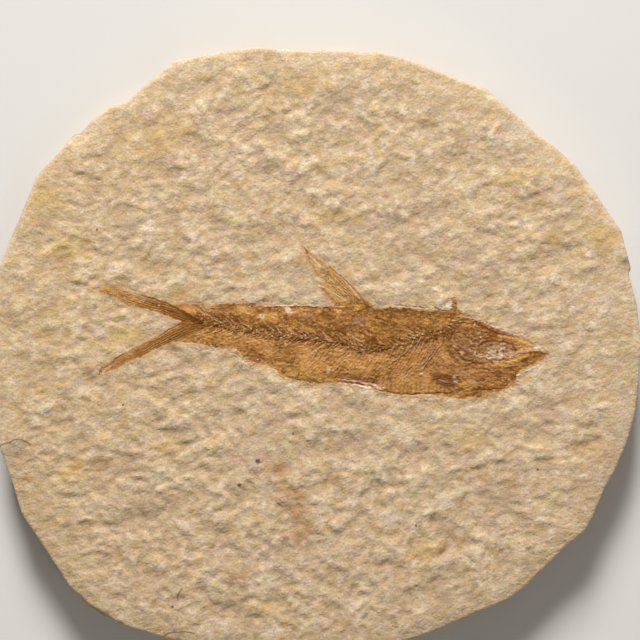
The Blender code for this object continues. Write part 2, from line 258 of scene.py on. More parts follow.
# Patches of colour in the stone: place, half sizes along and across the grain.
OCHRE = (
    (43.9, 17.9, 2.2, 1.8), (37, 17.9, 1.8, 1.2), (-23.2, -15.1, 2.6, 1.8), (-38.2, 15.9, 3.4, 2),
    (-2.6, 41.5, 3.6, 1.5), (42.4, -15.1, 2.6, 2), (16.8, -30.9, 2.8, 1.8), (-37.4, -18.2, 2, 1.4),
    (-8, -39.9, 2.2, 1.4), (-42.9, 23.6, 3.4, 2.2), (-24, 33.5, 4.5, 2.2), (2, 21, 3, 1.2),
    (-20.5, 9.5, 3, 1), (30.5, 27, 3, 1.6), (-30, 2.5, 3.5, 1.5), (24, -13.5, 2.4, 1.4),
)
GREY_STONE = (
    (10.6, 20.5, 2.9, 1.7), (16.8, 21.8, 2.2, 1.4), (7, 19, 1.8, 1.1), (-1.8, 26.3, 1.4, 1),
    (-28.8, 19.8, 2.4, 1.4), (23.8, 15.1, 2, 1.2), (28.4, 13.6, 2.2, 1.2), (6, -13.6, 3.4, 1.6),
    (-18.8, -11.2, 2.4, 1.4), (-9.5, -16.7, 1.6, 1), (-27.4, -25.2, 3.6, 1.6), (5.2, -39.1, 2.6, 1.4),
    (-13.4, 37.6, 2.4, 1.2), (4.4, 39.1, 3.4, 1.5), (36.2, -8.9, 2.4, 1.4), (28.4, -22.9, 3, 1.6),
    (-46, -15, 3.2, 2), (-14, -40, 3.4, 1.6), (20, -26, 3.2, 1.6), (-6, -30.5, 2, 1.4),
)
RUST = (
    (-4.1, -21.6, 2, 1.6), (-2.2, -27.8, 2.8, 1.8), (-6, -18.4, 1.8, 1.2), (-3, -24.4, 1.5, 1.8),
    (-37.4, -18, 1.1, 0.8), (-33.6, -17.7, 1.2, 0.7), (-11.9, -34.5, 1.6, 1), (19.2, -30.6, 1.4, 1),
    (-7.5, 21.8, 0.9, 0.7), (-35.4, -2.6, 1, 0.6), (-20.6, 8.6, 1.6, 0.8), (-2.6, 14.4, 1.4, 0.9),
)
PINHOLES = (  # place and radius
    (-34, 19, 0.26), (-30, -8.1, 0.26), (-9.1, -16.8, 0.5), (-11.9, -20.5, 0.38), (-22.3, -39.4, 0.3),
    (34.3, -18.1, 0.24), (-3.6, -12.6, 0.2), (15.4, -26.8, 0.2),
)
PINHOLE_FLATTENING = 0.1  # of heights, so that the relief doesn't hide a pinhole
BLOOM = (
    (5.2, -38.9, 1.6, 1.1), (19.6, -23, 1.5, 1), (-33.6, 3.3, 1.1, 0.8), (-6.4, -35.3, 1.4, 0.9),
    (31.8, 34.6, 2.2, 1.8), (28.6, 32.6, 2, 0.9), (11.4, -25.4, 1.6, 1.1), (-15.1, -30.6, 0.8, 0.6),
    (-43.7, -10.5, 0.8, 0.6), (-41.8, -8.8, 1.1, 0.8), (-36.7, -4.9, 1.4, 0.8), (-14.8, -41.6, 2.4, 1),
    (-6.6, -43, 1.6, 0.9), (-21.3, -27.5, 1.2, 0.8), (47.8, -12, 1.4, 2), (44.6, 8, 1.4, 0.9),
    (-12.5, -5.2, 1, 0.6), (-29, -20.5, 1, 0.7), (37.5, 24, 1.4, 0.8), (9, 27, 1.6, 0.8),
)
# Hairline cracks: the centre and radius of each arc, the way to its middle in degrees and half its turn.
CRACKS = (
    (-46.4, -17.2, 3.6, 100, 50), (-20.8, -48.6, 5.4, 93, 32), (-20, -37.9, 1.5, 160, 40),
    (-6.5, -26, 2.4, 60, 14),
)


def patches(x, y, listed, edge_seed):
    """Where the listed patches lie, from 0 to 1, with ragged edges."""
    along, across = grain(x, y)
    ragged = 0.9 * layered(x / 1.6, y, seed=edge_seed, keep=0.65)
    found = np.zeros(np.shape(x))
    for cx, cy, long_half, wide_half in listed:
        centre_along, centre_across = grain(cx, cy)
        reach = np.hypot((along - centre_along) / long_half, (across - centre_across) / wide_half)
        found = np.maximum(found, smooth_step(1.5, 0.3, reach + ragged))
    return found


def stone_tints(x, y, relief, rim_depth, fish_depth):
    """Shares of ochre, grey and rust in the stone's colour, grey below zero giving pale bloom and a painted
    highlight along the rim, and the share of painted shade, deeper the lower a place lies in the relief, with
    larger random patches of it.
    """
    a, c = grain(x, y, 2, 1.6)
    ochre = np.clip(0.8 * layered(a + 7, c, seed=33) + 0.3 * noise(x / 12, y / 12, seed=36), 0, 1)
    ochre = ochre + 0.8 * patches(x, y, OCHRE, 35) + 0.16 * smooth_step(-18, -46, x)
    blotch = layered(a, c, seed=31, octaves=3)
    grey = np.clip(0.68 * blotch + 0.26 * noise(x / 11, y / 11, seed=37), 0, 1)
    grey = grey + 0.66 * patches(x, y, GREY_STONE, 38) + 0.14 * smooth_step(10, -40, y)
    bloom = np.clip(1.4 * (layered(a - 9, c + 4, seed=47) - 0.55), 0, 0.6)
    # painted highlight: a pale line along the rim, given as grey below zero so that it takes the bloom's
    # colour
    rim_highlight = smooth_step(0.9, 0.15, rim_depth)
    grey = grey - 2.2 * np.maximum(patches(x, y, BLOOM, 48), bloom) - 1.3 * rim_highlight
    rust = 0.64 * patches(x, y, RUST, 39)
    rust = rust + 0.3 * np.clip(layered(*grain(x, y, 3, 1.8), seed=41) - 0.55, 0, 1)
    halo = smooth_step(-0.8, 0.2, fish_depth + 0.35 * layered(x / 0.9, y / 0.7, seed=43))
    rust = np.maximum(rust, 0.3 * halo)
    # painted shade: darker and warmer the lower the relief, with larger random patches of the same tone
    hollow_shade = np.clip(0.5 - relief * 2.6 + 0.45 * layered(x / 5, y / 3.6, seed=45, octaves=3), 0, 1)
    return np.stack([ochre, grey, rust, hollow_shade], axis=-1).clip(-1, 2)


# Meshes

SHARP_ANGLE = 55  # degrees, past which an edge isn't shaded smooth


def make_mesh(name, points_mm, faces, stored, material):
    """An object of these points and faces, with named numbers or colours at each point."""
    mesh = bpy.data.meshes.new(name)
    mesh.from_pydata((np.asarray(points_mm) * MM).tolist(), [], faces)
    mesh.validate()
    for label, values in stored.items():
        kind, field = ("FLOAT_COLOR", "color") if np.ndim(values) == 2 else ("FLOAT", "value")
        values = np.asarray(values, np.float32).ravel()
        mesh.attributes.new(label, kind, "POINT").data.foreach_set(field, values)
    mesh.materials.append(material)
    mesh.shade_smooth()
    mesh.set_sharp_from_angle(angle=math.radians(SHARP_ANGLE))
    made = bpy.data.objects.new(name, mesh)
    bpy.context.scene.collection.objects.link(made)
    return made


def concentric(steps):
    """A square grid bent into a disc: radius and angle of each point, row by row."""
    axis = np.linspace(-1, 1, steps + 1)
    a, b = np.meshgrid(axis, axis, indexing="ij")
    wide = np.abs(a) >= np.abs(b)
    radius = np.where(wide, a, b)
    with np.errstate(divide="ignore", invalid="ignore"):
        angle = np.where(wide, math.pi / 4 * b / a, math.pi / 2 - math.pi / 4 * a / b)
    angle = np.where(radius == 0, 0, angle) + np.where(radius < 0, math.pi, 0)
    return np.abs(radius), angle % (2 * math.pi)


def grid_faces(steps, first):
    """The quads of a square grid of points, row by row, facing up."""
    row = steps + 1
    i, j = np.meshgrid(np.arange(steps), np.arange(steps), indexing="ij")
    corner = first + i * row + j
    return np.stack([corner, corner + row, corner + row + 1, corner + 1], axis=-1).reshape(-1, 4)


def grid_border(steps, first):
    """The border points of such a grid, anticlockwise from the lower right corner of the square."""
    row = steps + 1
    k = np.arange(steps)
    return first + np.concatenate([steps * row + k, (steps - k) * row + steps, steps - k, k * row])


# The slab

FACE_STEPS = 248
UNDER_STEPS = FACE_STEPS // 4
RIM_POINTS = 4 * FACE_STEPS
# Top of each bed, its setback from the rim, how far that varies and the level of noise that it varies by.
BEDS = (
    (1.7, 1.1, 0.9, 11.3),
    (3.3, 0.45, 0.5, 23.7),
    (5.1, 0, 0, 0),
    (9, 0, 0.06, 41.9),
)
TOP_BED = BEDS[-1][0]
TOP_BREAKAGE = 0.28  # share of the side's breakage that the top bed has
BEDDING_PLANES = (5.9, 5.45, 5.1, 4.55, 4.1, 3.3, 2.85, 2.3, 1.7, 1.15, 0.6)  # that the side breaks along
SEAM = 0.05  # how far above and below each plane its two rings take their setbacks
SEAM_HALF = 0.03  # half the height of the step there
SEAM_NOTCH = 0.04  # how much further in the step's upper edge lies
SEAM_WAVE = 0.07
FOOT_LEVEL = 0.1  # height that gives the lowest ring its setback
FOOT_NOTCH = 0.05
TOP_LEVEL = 6.5  # and the one that gives the top edge its own
SIDE_TINTED = (0.1, 1.2)  # depths below the face over which the colour turns to the broken side's
SHELF_TURN = math.radians(229)  # the side where the lower beds stand out past the top one
SHELF_SPREAD = math.radians(7)
SHELF_WIDTH = 0.5
EDGE_ROUNDING = 0.15
ROUNDING_RINGS = ((0.45, 0.1), (0.12, 0.3))  # share of the rounding left, and the drop below the face
WAY_OUT_REACH = 4  # rim points to each side that give the way out of the rim
CALM_REACH = 24  # rim points to each side that the calm rim is averaged over
CALM_INSIDE = 0.86  # share of the radius that follows the calm rim
RING_GAP = 0.05  # that each ring of the side keeps below the face
UNDER_MARGIN = 0.4  # from the lowest ring to the underside's own grid


def rim_loop():
    """Points round the rim at even steps, anticlockwise from the lower right, and the way out at each."""
    corners = np.array(RIM[::-1])
    angles = np.arctan2(corners[:, 1], corners[:, 0])
    corners = np.roll(corners, -int(np.argmin(np.abs(angles + math.pi / 4))), axis=0)
    closed = np.vstack([corners, corners[:1]])
    lengths = np.concatenate([[0], np.cumsum(np.hypot(*np.diff(closed, axis=0).T))])
    at = np.arange(RIM_POINTS) / RIM_POINTS * lengths[-1]
    loop = np.stack([np.interp(at, lengths, closed[:, k]) for k in (0, 1)], axis=-1)
    ahead = np.roll(loop, -WAY_OUT_REACH, axis=0) - np.roll(loop, WAY_OUT_REACH, axis=0)
    outward = np.stack([ahead[:, 1], -ahead[:, 0]], axis=-1)
    return loop, outward / np.linalg.norm(outward, axis=1)[:, None]


def bed_setback(loop, height, layer):
    """How far the side stands back from the rim at each point of a loop, at one height."""
    x, y = loop.T
    top, mean, spread, level = next(bed for bed in BEDS if height <= bed[0])
    setback = mean + spread * noise(x / 6, y / 6, level)
    if top == TOP_BED:
        turn = np.arctan2(y, x) % (2 * math.pi) - SHELF_TURN
        setback = setback + SHELF_WIDTH * np.exp(-(turn / SHELF_SPREAD) ** 2)
    scars = 0.45 * np.clip(noise(x / 4.5, y / 4.5, height / 2.2, seed=51), 0, 1)
    steps = 0.2 * noise(x / 2.4, y / 2.4, layer * 7.3, seed=52)
    rough = 0.1 * layered(x / 0.8, y / 0.8, layer * 3.1, seed=53, octaves=2)
    broken = np.maximum(scars + steps + 0.12, 0) + np.abs(rough)
    return np.maximum(setback, 0) + broken * (TOP_BREAKAGE if top == TOP_BED else 1)


def fill(steps, rim, calm_rim):
    """Places that fill a rim, row by row, and follow a calm rim further in."""
    radius, angle = concentric(steps)
    at = angle / (2 * math.pi) * len(rim) + len(rim) / 8
    low = np.floor(at).astype(int)
    part = (at - low)[..., None]
    outer, inner = (r[low % len(r)] * (1 - part) + r[(low + 1) % len(r)] * part for r in (rim, calm_rim))
    share = smooth_step(CALM_INSIDE, 1, radius)[..., None]
    return (radius[..., None] * (outer * share + inner * (1 - share))).reshape(-1, 2).T


class Shell:
    """The slab's points and faces, with the tints and the share of broken side at each point."""

    def __init__(self):
        self.points, self.faces, self.tints, self.sides, self.count = [], [], [], [], 0

    def add(self, x, y, height, tints, side):
        """Adds points and gives their numbers."""
        ones = np.ones(len(x))
        self.points.append(np.column_stack([x, y, height * ones]))
        self.tints.append(tints)
        self.sides.append(side * ones)
        self.count += len(x)
        return np.arange(self.count - len(x), self.count)


def slab_face(shell, edge):
    """The lumpy face, with the numbers and heights of the points on its edge."""
    kernel = np.hanning(2 * CALM_REACH + 1)
    wrapped = np.concatenate([edge[-CALM_REACH:], edge, edge[:CALM_REACH]])
    calm_edge = np.stack([np.convolve(v, kernel / kernel.sum(), "valid") for v in wrapped.T], axis=-1)
    x, y = fill(FACE_STEPS, edge, calm_edge)
    rim_depth, fish_depth = depth_inside(RIM, x, y), depth_inside(FISH_EDGE, x, y)
    height, relief = stone_surface(x, y, rim_depth, fish_depth)
    tints = stone_tints(x, y, relief, rim_depth, fish_depth)
    height = height - POCKET_DEPTH * smooth_step(-POCKET_MARGIN - POCKET_SLOPE, -POCKET_MARGIN, fish_depth)
    shell.add(x, y, height, tints, 0)
    shell.faces += grid_faces(FACE_STEPS, 0).tolist()
    border = grid_border(FACE_STEPS, 0)
    return border, height[border]


def side_rings(loop, top_setback, top_height):
    """Setback from the rim and height of each ring of points down the side."""
    for left, drop in ROUNDING_RINGS:
        yield top_setback - EDGE_ROUNDING * (1 - left), top_height - drop
    for layer, plane in enumerate(BEDDING_PLANES):
        level = plane + SEAM_WAVE * noise(*(loop / 5).T, plane, seed=54)
        yield bed_setback(loop, plane + SEAM, layer) + SEAM_NOTCH, level + SEAM_HALF
        yield bed_setback(loop, plane - SEAM, layer + 1), level - SEAM_HALF
    yield bed_setback(loop, FOOT_LEVEL, len(BEDDING_PLANES)) + FOOT_NOTCH, np.zeros(RIM_POINTS)


def slab_underside(shell, ring, outline):
    """The flat underside, inside the last ring of the side."""
    rim = outline[::RIM_POINTS // (4 * UNDER_STEPS)]
    x, y = fill(UNDER_STEPS, rim, rim)
    tints = stone_tints(x, y, 0.05 * noise(x, y, seed=9), FAR, -FAR)
    first = int(shell.add(x, y, 0, tints, 1)[0])
    shell.faces += grid_faces(UNDER_STEPS, first)[:, ::-1].tolist()
    inner = grid_border(UNDER_STEPS, first).tolist()
    outer = np.append(ring, ring[0]).tolist()
    per = RIM_POINTS // len(inner)
    for i, (start, after) in enumerate(zip(inner, inner[1:] + inner[:1])):
        for k in range(i * per, i * per + per - 1):
            shell.faces.append([outer[k], start, outer[k + 1]])
        shell.faces.append([outer[k + 1], start, after, outer[k + 2]])


def slab_mesh(material):
    loop, outward = rim_loop()
    top_setback = bed_setback(loop, TOP_LEVEL, 0) + EDGE_ROUNDING
    shell = Shell()
    previous, top_height = slab_face(shell, loop - outward * top_setback[:, None])
    for setback, level in side_rings(loop, top_setback, top_height):
        level = np.minimum(level, top_height - RING_GAP)
        x, y = (loop - outward * setback[:, None]).T
        tints = stone_tints(x, y, 0.12 * noise(x, y, level / 0.5, seed=55), FAR, -FAR)
        current = shell.add(x, y, level, tints, smooth_step(*SIDE_TINTED, TOP - level))
        quads = [previous, current, np.roll(current, -1), np.roll(previous, -1)]
        shell.faces += np.stack(quads, axis=-1).tolist()
        previous = current
    slab_underside(shell, previous, loop - outward * (setback + UNDER_MARGIN)[:, None])
    stored = {"stone_tints": np.vstack(shell.tints), "side": np.concatenate(shell.sides)}
    return make_mesh("limestone", np.vstack(shell.points), shell.faces, stored, material)


# The fish is painted on a canvas of fine cells, each mark a line or a spot with its tint and relief.

CELL = 0.05
CANVAS_LOW, CANVAS_HIGH = (-36, -9.2), (38.2, 18.6)
CANVAS_REACH = 1.2  # past the fish's edge
WOBBLE = 0.14  # how far marks are bent out of true
DARK, WARM, PALE, GREY = range(4)
# The first and last ray of each tail lobe and of the dorsal fin.
UPPER_RAYS = (
    ((-33.9, 9.6), (-32.7, 10.7), (-31.4, 10.4), (-27.6, 9.1), (-24, 8.1), (-20.5, 6.4), (-18, 4.7)),
    ((-33.6, 9.2), (-30.6, 8.2), (-27.2, 7), (-24, 6), (-21.3, 5), (-19.6, 4.6), (-18.1, 4.4)),
)
LOWER_RAYS = (
    ((-33.4, -2.8), (-31.9, -1.6), (-29.2, -0.1), (-25.6, 1.9), (-22.5, 4), (-20.5, 4.5), (-18.1, 4.4)),
    ((-33.1, -3.3), (-31.1, -2.6), (-27.2, -0.7), (-24, 1), (-21, 2.2), (-19.3, 3.2), (-17.6, 4)),
)
DORSAL_RAYS = (
    ((8.2, 7.4), (6.2, 9.6), (4.2, 11.6), (1.9, 13.4), (-0.1, 14.7), (-2, 16.3)),
    ((2.9, 7.6), (1.7, 8.9), (0.7, 9.9), (0.5, 11), (-0.6, 13), (-2, 16.2)),
)
# The lines between which the body's marks lie.
BACK_LINE = ((-19.5, 7.6), (-14.7, 7.4), (-8.8, 7.2), (0.5, 7), (9.1, 6.8), (17.6, 6.4), (22, 6.3), (30, 3.4))
BELLY_LINE = (
    (-18.7, 1.3), (-12.4, 0.4), (-10, -1.6), (-5.8, -3.4), (0.4, -4.9), (8, -5.1), (13.1, -6.6),
    (18.1, -6.5), (25, -6.8), (31, -4),
)
VERTEBRA_PITCH = 0.7
RIB_PITCH = 0.62
SCUTE_PITCH = 0.64
NEEDLE_COUNT = 220
RIB_COUNT = 30
SCUTE_COUNT = 17
RAYS_PER_LOBE = 6
DORSAL_RAY_COUNT = 11
SKULL_SPLINTERS = 190
CHEEK_SPLINTERS = 26
ORBIT_CRYSTALS = 230
GRIT_COUNT = 240
RAY_POINTS = 24  # along each fin ray
MARK_SEED = 8  # of the random draws that place the marks
TAIL_ROOT = -19  # where the body ends and the tail begins
FORK_HEIGHT = 4.6  # between the tail's lobes
OVAL_REACH = 1.5  # half the window that an oval is drawn in, over its larger half size
# Three long ribs behind the gill cover.
LONG_RIBS = (
    ((16, 1.9), (13.4, -0.5), (10.7, -2.4)),
    ((18.4, 0.5), (16.6, -2)),
    ((19.6, 1.4), (17.6, -1.2), (16, -3.4)),
)
# Bright lengths of the dorsal fin's rays: the share of the way across the fin, and the first and last of the
# points along it.
BRIGHT_RAYS = ((0.12, 3, 12), (0.3, 9, 20), (0.45, 4, 13), (0.6, 8, 19), (0.74, 12, 21), (0.88, 2, 9))
# Shreds of film below the fish: place, half sizes, turn in degrees and cover.
SHREDS = (
    ((-10.1, -1.2), (2.1, 0.7), -12, 0.6),
    ((-13.6, 0.25), (1.5, 0.5), -15, 0.45),
    ((28.4, -6.1), (2.2, 0.5), 12, 0.5),
)


class Canvas:
    """Tints, film, gold and relief in millimetres, at each cell."""

    def __init__(self):
        self.size = (np.subtract(CANVAS_HIGH, CANVAS_LOW) / CELL).astype(int)
        axes = (low + CELL * np.arange(count) for low, count in zip(CANVAS_LOW, self.size))
        self.x, self.y = np.meshgrid(*axes)
        self.depth = depth_inside(FISH_EDGE, self.x, self.y)
        self.near = self.depth > -CANVAS_REACH
        self.bent_x = self.x + WOBBLE * self.field(0.9, 0.9, 58)
        self.bent_y = self.y + WOBBLE * self.field(0.9, 0.9, 59)
        self.wear = np.clip(0.85 + 0.55 * self.field(0.45, 0.35, 60), 0.1, 1.15)
        self.ragged = self.field(0.5, 0.35, 61)
        self.gold = 0.9 * self.field(1.9, 1.3, 79)
        self.tints = self.film = self.height = None

    def field(self, wide, high, seed, octaves=3, keep=0.5):
        """Layered noise near the fish, with lumps of this size."""
        found = np.zeros(self.x.shape)
        found[self.near] = layered(self.x[self.near] / wide, self.y[self.near] / high, 0, seed, octaves, keep)
        return found

    def window(self, low, high):
        """The cells between two corners."""
        first = np.floor(np.subtract(low, CANVAS_LOW) / CELL).astype(int)
        last = np.ceil(np.subtract(high, CANVAS_LOW) / CELL).astype(int) + 1
        first, last = np.clip((first, last), 0, self.size)
        return slice(first[1], last[1]), slice(first[0], last[0])

    def oval(self, centre, halves, turn, ragged):
        """The cells round an oval turned this far from +X, and how far out each is in half sizes."""
        reach = max(halves) * OVAL_REACH
        where = self.window(np.subtract(centre, reach), np.add(centre, reach))
        along, across = turned(self.bent_x[where] - centre[0], self.bent_y[where] - centre[1], turn)
        return where, np.hypot(along / halves[0], across / halves[1]) + ragged * self.ragged[where]

    def put(self, where, cover, tint, strength, raised, film):
        cover = np.clip(cover * strength * self.wear[where], 0, 1)
        if tint is not None:
            self.tints[where] += (np.eye(4)[tint] - self.tints[where]) * cover[..., None]
        if film > 0:
            self.film[where] = np.maximum(self.film[where], cover * film)
        elif film < 0:
            self.film[where] *= 1 + cover * film
        self.height[where] += cover * raised / strength

    def line(self, points, width, tint=None, strength=1, raised=0, ends=(1, 1), soft=0.5, film=0):
        """A line of this full width, whose ends are these shares of it."""
        points = np.array(points, float)
        where = self.window(points.min(axis=0) - width / 2, points.max(axis=0) + width / 2)
        lengths = np.hypot(*np.diff(points, axis=0).T)
        runs = np.concatenate([[0], np.cumsum(lengths)]) / lengths.sum()
        cover = np.zeros(self.x[where].shape)
        for start, end, run, next_run in zip(points, points[1:], runs, runs[1:]):
            share, dx, dy = off_segment(start, end, self.bent_x[where], self.bent_y[where])
            half = width / 2 * (ends[0] + (ends[1] - ends[0]) * (run + (next_run - run) * share))
            cover = np.maximum(cover, smooth_step(1, 1 - soft, np.hypot(dx, dy) / half))
        self.put(where, cover, tint, strength, raised, film)

    def spot(self, centre, halves, tint=None, strength=1, turn=0, ragged=0.3, raised=0, film=0):
        """An oval with these half sizes."""
        where, away = self.oval(centre, halves, turn, ragged)
        self.put(where, smooth_step(1.3, 0.5, away), tint, strength, raised, film)

    def gild(self, centre, halves, turn, amount):
        """Turns an oval towards gold, or towards pink for an amount below 0."""
        where, away = self.oval(centre, halves, turn, 0.3)
        self.gold[where] += amount * smooth_step(1.4, 0.4, away)

    def at(self, values, x, y):
        """A layer's values at places between the cells."""
        last = self.size - 1.001  # so that the cell after it is on the canvas too
        column, row = (np.clip((v - low) / CELL, 0, end) for v, low, end in zip((x, y), CANVAS_LOW, last))
        i, j = row.astype(int), column.astype(int)
        f, g = row - i, column - j
        if values.ndim == 3:
            f, g = f[..., None], g[..., None]
        low = values[i, j] * (1 - g) + values[i, j + 1] * g
        high = values[i + 1, j] * (1 - g) + values[i + 1, j + 1] * g
        return low * (1 - f) + high * f


def between(first, second, share, count=RAY_POINTS):
    """A line that lies at one share of the way from one line to another."""
    return smoothed(first, count) * (1 - share) + smoothed(second, count) * share


# Regions of the body by tint: place, half sizes, turn in degrees, tint, strength.
REGIONS = (
    ((-14.5, 5.9), (5, 1.1), 0, DARK, 0.28), ((-7.5, 5.8), (1.6, 1), 0, WARM, 0.35),
    ((1.9, 4.7), (5, 1.6), -3, DARK, 0.3), ((-1.2, 5.4), (1.5, 0.8), 0, GREY, 0.5),
    ((6.7, 4.8), (1.2, 1), 0, GREY, 0.6), ((13.7, 6.1), (7.5, 0.9), -2, DARK, 0.55),
    ((16, 3.9), (4.6, 1), 0, WARM, 0.3), ((-12.8, 2.3), (5.8, 1.3), -8, WARM, 0.6),
    ((-2.5, -0.6), (5, 1.8), -10, WARM, 0.62), ((6, -1.3), (3.6, 1.1), -5, WARM, 0.5),
    ((12.7, -1.5), (3.6, 2), 10, WARM, 0.16), ((17.2, -2.7), (3.4, 1.1), -5, WARM, 0.42),
    ((14.5, -5), (6, 1.5), 0, WARM, 0.5), ((22, 1.2), (2.4, 2.2), 0, DARK, 0.36),
    ((27, -3.8), (3.6, 1.3), 15, DARK, 0.22), ((25.5, 2.2), (2, 1.2), -20, DARK, 0.4),
    ((-10.8, 6.4), (1.9, 0.85), -4, WARM, 0.62), ((-5, -2.7), (3.6, 1), -12, WARM, 0.55),
    ((3, -3.2), (4, 0.8), -6, WARM, 0.3), ((19.4, -0.9), (1.6, 1.8), 30, WARM, 0.35),
    ((30, -1.4), (1.8, 0.8), 12, WARM, 0.75), ((31.9, 2), (1.9, 0.55), -35, WARM, 0.75),
    ((10.5, 0.8), (2.8, 0.9), 12, DARK, 0.4), ((18.3, 2.9), (2.8, 1), 22, DARK, 0.4),
    ((-4.4, 0.8), (2, 1.3), -12, DARK, 0.42), ((-4.4, -0.9), (1.8, 1), -12, DARK, 0.28),
    ((-1, -2.6), (2, 1.6), -8, WARM, 0.55), ((5.2, -0.4), (2.4, 1.4), -5, WARM, 0.6),
    ((17.6, 0.3), (1.6, 1.4), 20, WARM, 0.45), ((-15.6, 2.2), (2.4, 0.9), -8, WARM, 0.5),
    ((23.2, -0.2), (2.6, 2.8), 20, GREY, 0.34), ((22.6, -3.2), (2.4, 1.2), -5, GREY, 0.3),
    ((27, 3.6), (4.2, 0.9), -26, DARK, 0.4), ((14.8, -3.4), (4, 1), -5, GREY, 0.22),
    ((30, -3), (2.6, 0.9), 25, DARK, 0.3), ((12.6, 4.4), (4.8, 1.6), 0, DARK, 0.3),
    ((-0.5, -3.6), (5, 0.9), -8, WARM, 0.6),
)
# Where the film is golden, or pink for an amount below 0: place, half sizes, turn in degrees, amount.
GILDED = (
    ((3.2, 11.3), (7.2, 2.6), -42, 0.8), ((2.7, 12.2), (1, 0.7), 0, 1.2),
    ((6.8, 9.6), (3, 0.4), -48, -1.4), ((0.7, 12.6), (1.2, 0.6), -35, -0.9),
    ((14.5, -5), (5.8, 1.6), -3, 0.1), ((9.9, 3.9), (1.7, 1.4), 0, 0.9),
    ((-13.9, 2.3), (3.8, 1.3), -10, 0.6), ((-6, 6), (8, 1.3), 0, 0.5), ((31, 1.9), (2.8, 0.8), -30, 0.6),
    ((30.2, -1.6), (2.6, 0.9), 10, 0.6), ((24.3, -5.2), (2, 0.6), 5, 0.8), ((16, 5.2), (5, 1.2), -3, 0.5),
    ((-10, -1.3), (3.4, 0.9), -20, -0.6), ((6.5, -4.5), (3.4, 0.8), -5, -1),
    ((-1.6, -3.4), (4.6, 1), -8, 1), ((27.6, -5.9), (2.8, 0.6), 8, -1.2),
    ((27, 4.5), (4.8, 1), -28, -0.9), ((22.6, 0.6), (1.8, 2.6), 20, -0.2),
    ((18.2, -1), (2.4, 2), 0, -0.5), ((26.8, -3.6), (3.4, 1.5), 15, -0.6),
    ((19.7, -4.2), (2.4, 1.1), -14, -1.2), ((-25, 0.3), (6, 0.7), 28, 0.2),
    ((-26, 7), (5, 0.6), -22, 0.2), ((-29.5, 8.7), (4.6, 1.4), -22, 0.8), ((-19, 7.7), (2.6, 0.6), 0, -1),
    ((28, 0.2), (3.2, 1.5), 0, -0.5), ((-1, 5.4), (1.7, 0.9), 0, -1), ((6.7, 4.8), (1.4, 1.1), 0, -1),
    ((0, 1.6), (7, 0.9), -10, -0.4),
)
# Way that the fine bones lie in each part of the fish, in degrees from +X, how long they are, and where
# that part lies.
FIBRE_WAYS = (
    (150, 1.3, lambda x, y: (y > height_on(BACKBONE, x)) & (x > TAIL_ROOT)),
    (222, 1.3, lambda x, y: (y <= height_on(BACKBONE, x)) & (x > TAIL_ROOT)),
    (158, 4.5, lambda x, y: (x <= TAIL_ROOT) & (y > FORK_HEIGHT)),
    (207, 4.5, lambda x, y: (x <= TAIL_ROOT) & (y <= FORK_HEIGHT)),
    (133, 4, lambda x, y: (y > 7.3) & (x > -3) & (x < 9.2)),
)
FIBRE_WIDTH = 0.3
FIBRE_WANDER = 0.65


def fibre_field(canvas):
    """Fine streaks along the bones, about -1 to 1."""
    found = np.zeros(canvas.x.shape)
    body = smooth_step(TAIL_ROOT, -15, canvas.x) * smooth_step(7.6, 6.8, canvas.y)
    wander_x = canvas.bent_x + FIBRE_WANDER * body * canvas.field(2.6, 2.2, 81, octaves=2)
    wander_y = canvas.bent_y + FIBRE_WANDER * body * canvas.field(2.6, 2.2, 83, octaves=2)
    for way, long, belongs in FIBRE_WAYS:
        where = belongs(canvas.x, canvas.y) & canvas.near
        along, across = turned(wander_x[where], wander_y[where], way)
        found[where] = layered(along / long, across / FIBRE_WIDTH, seed=66, octaves=3, keep=0.6)
    return found


def squiggles(canvas, size, seed):
    """Thin broken lines that wander, 0 to 1, in loops about this many millimetres across."""
    wander = canvas.field(size, 0.8 * size, seed, octaves=2)
    broken = smooth_step(-0.15, 0.3, canvas.field(0.7 * size, 0.6 * size, seed + 5, octaves=2))
    return smooth_step(0.2, 0.04, abs(wander)) * broken


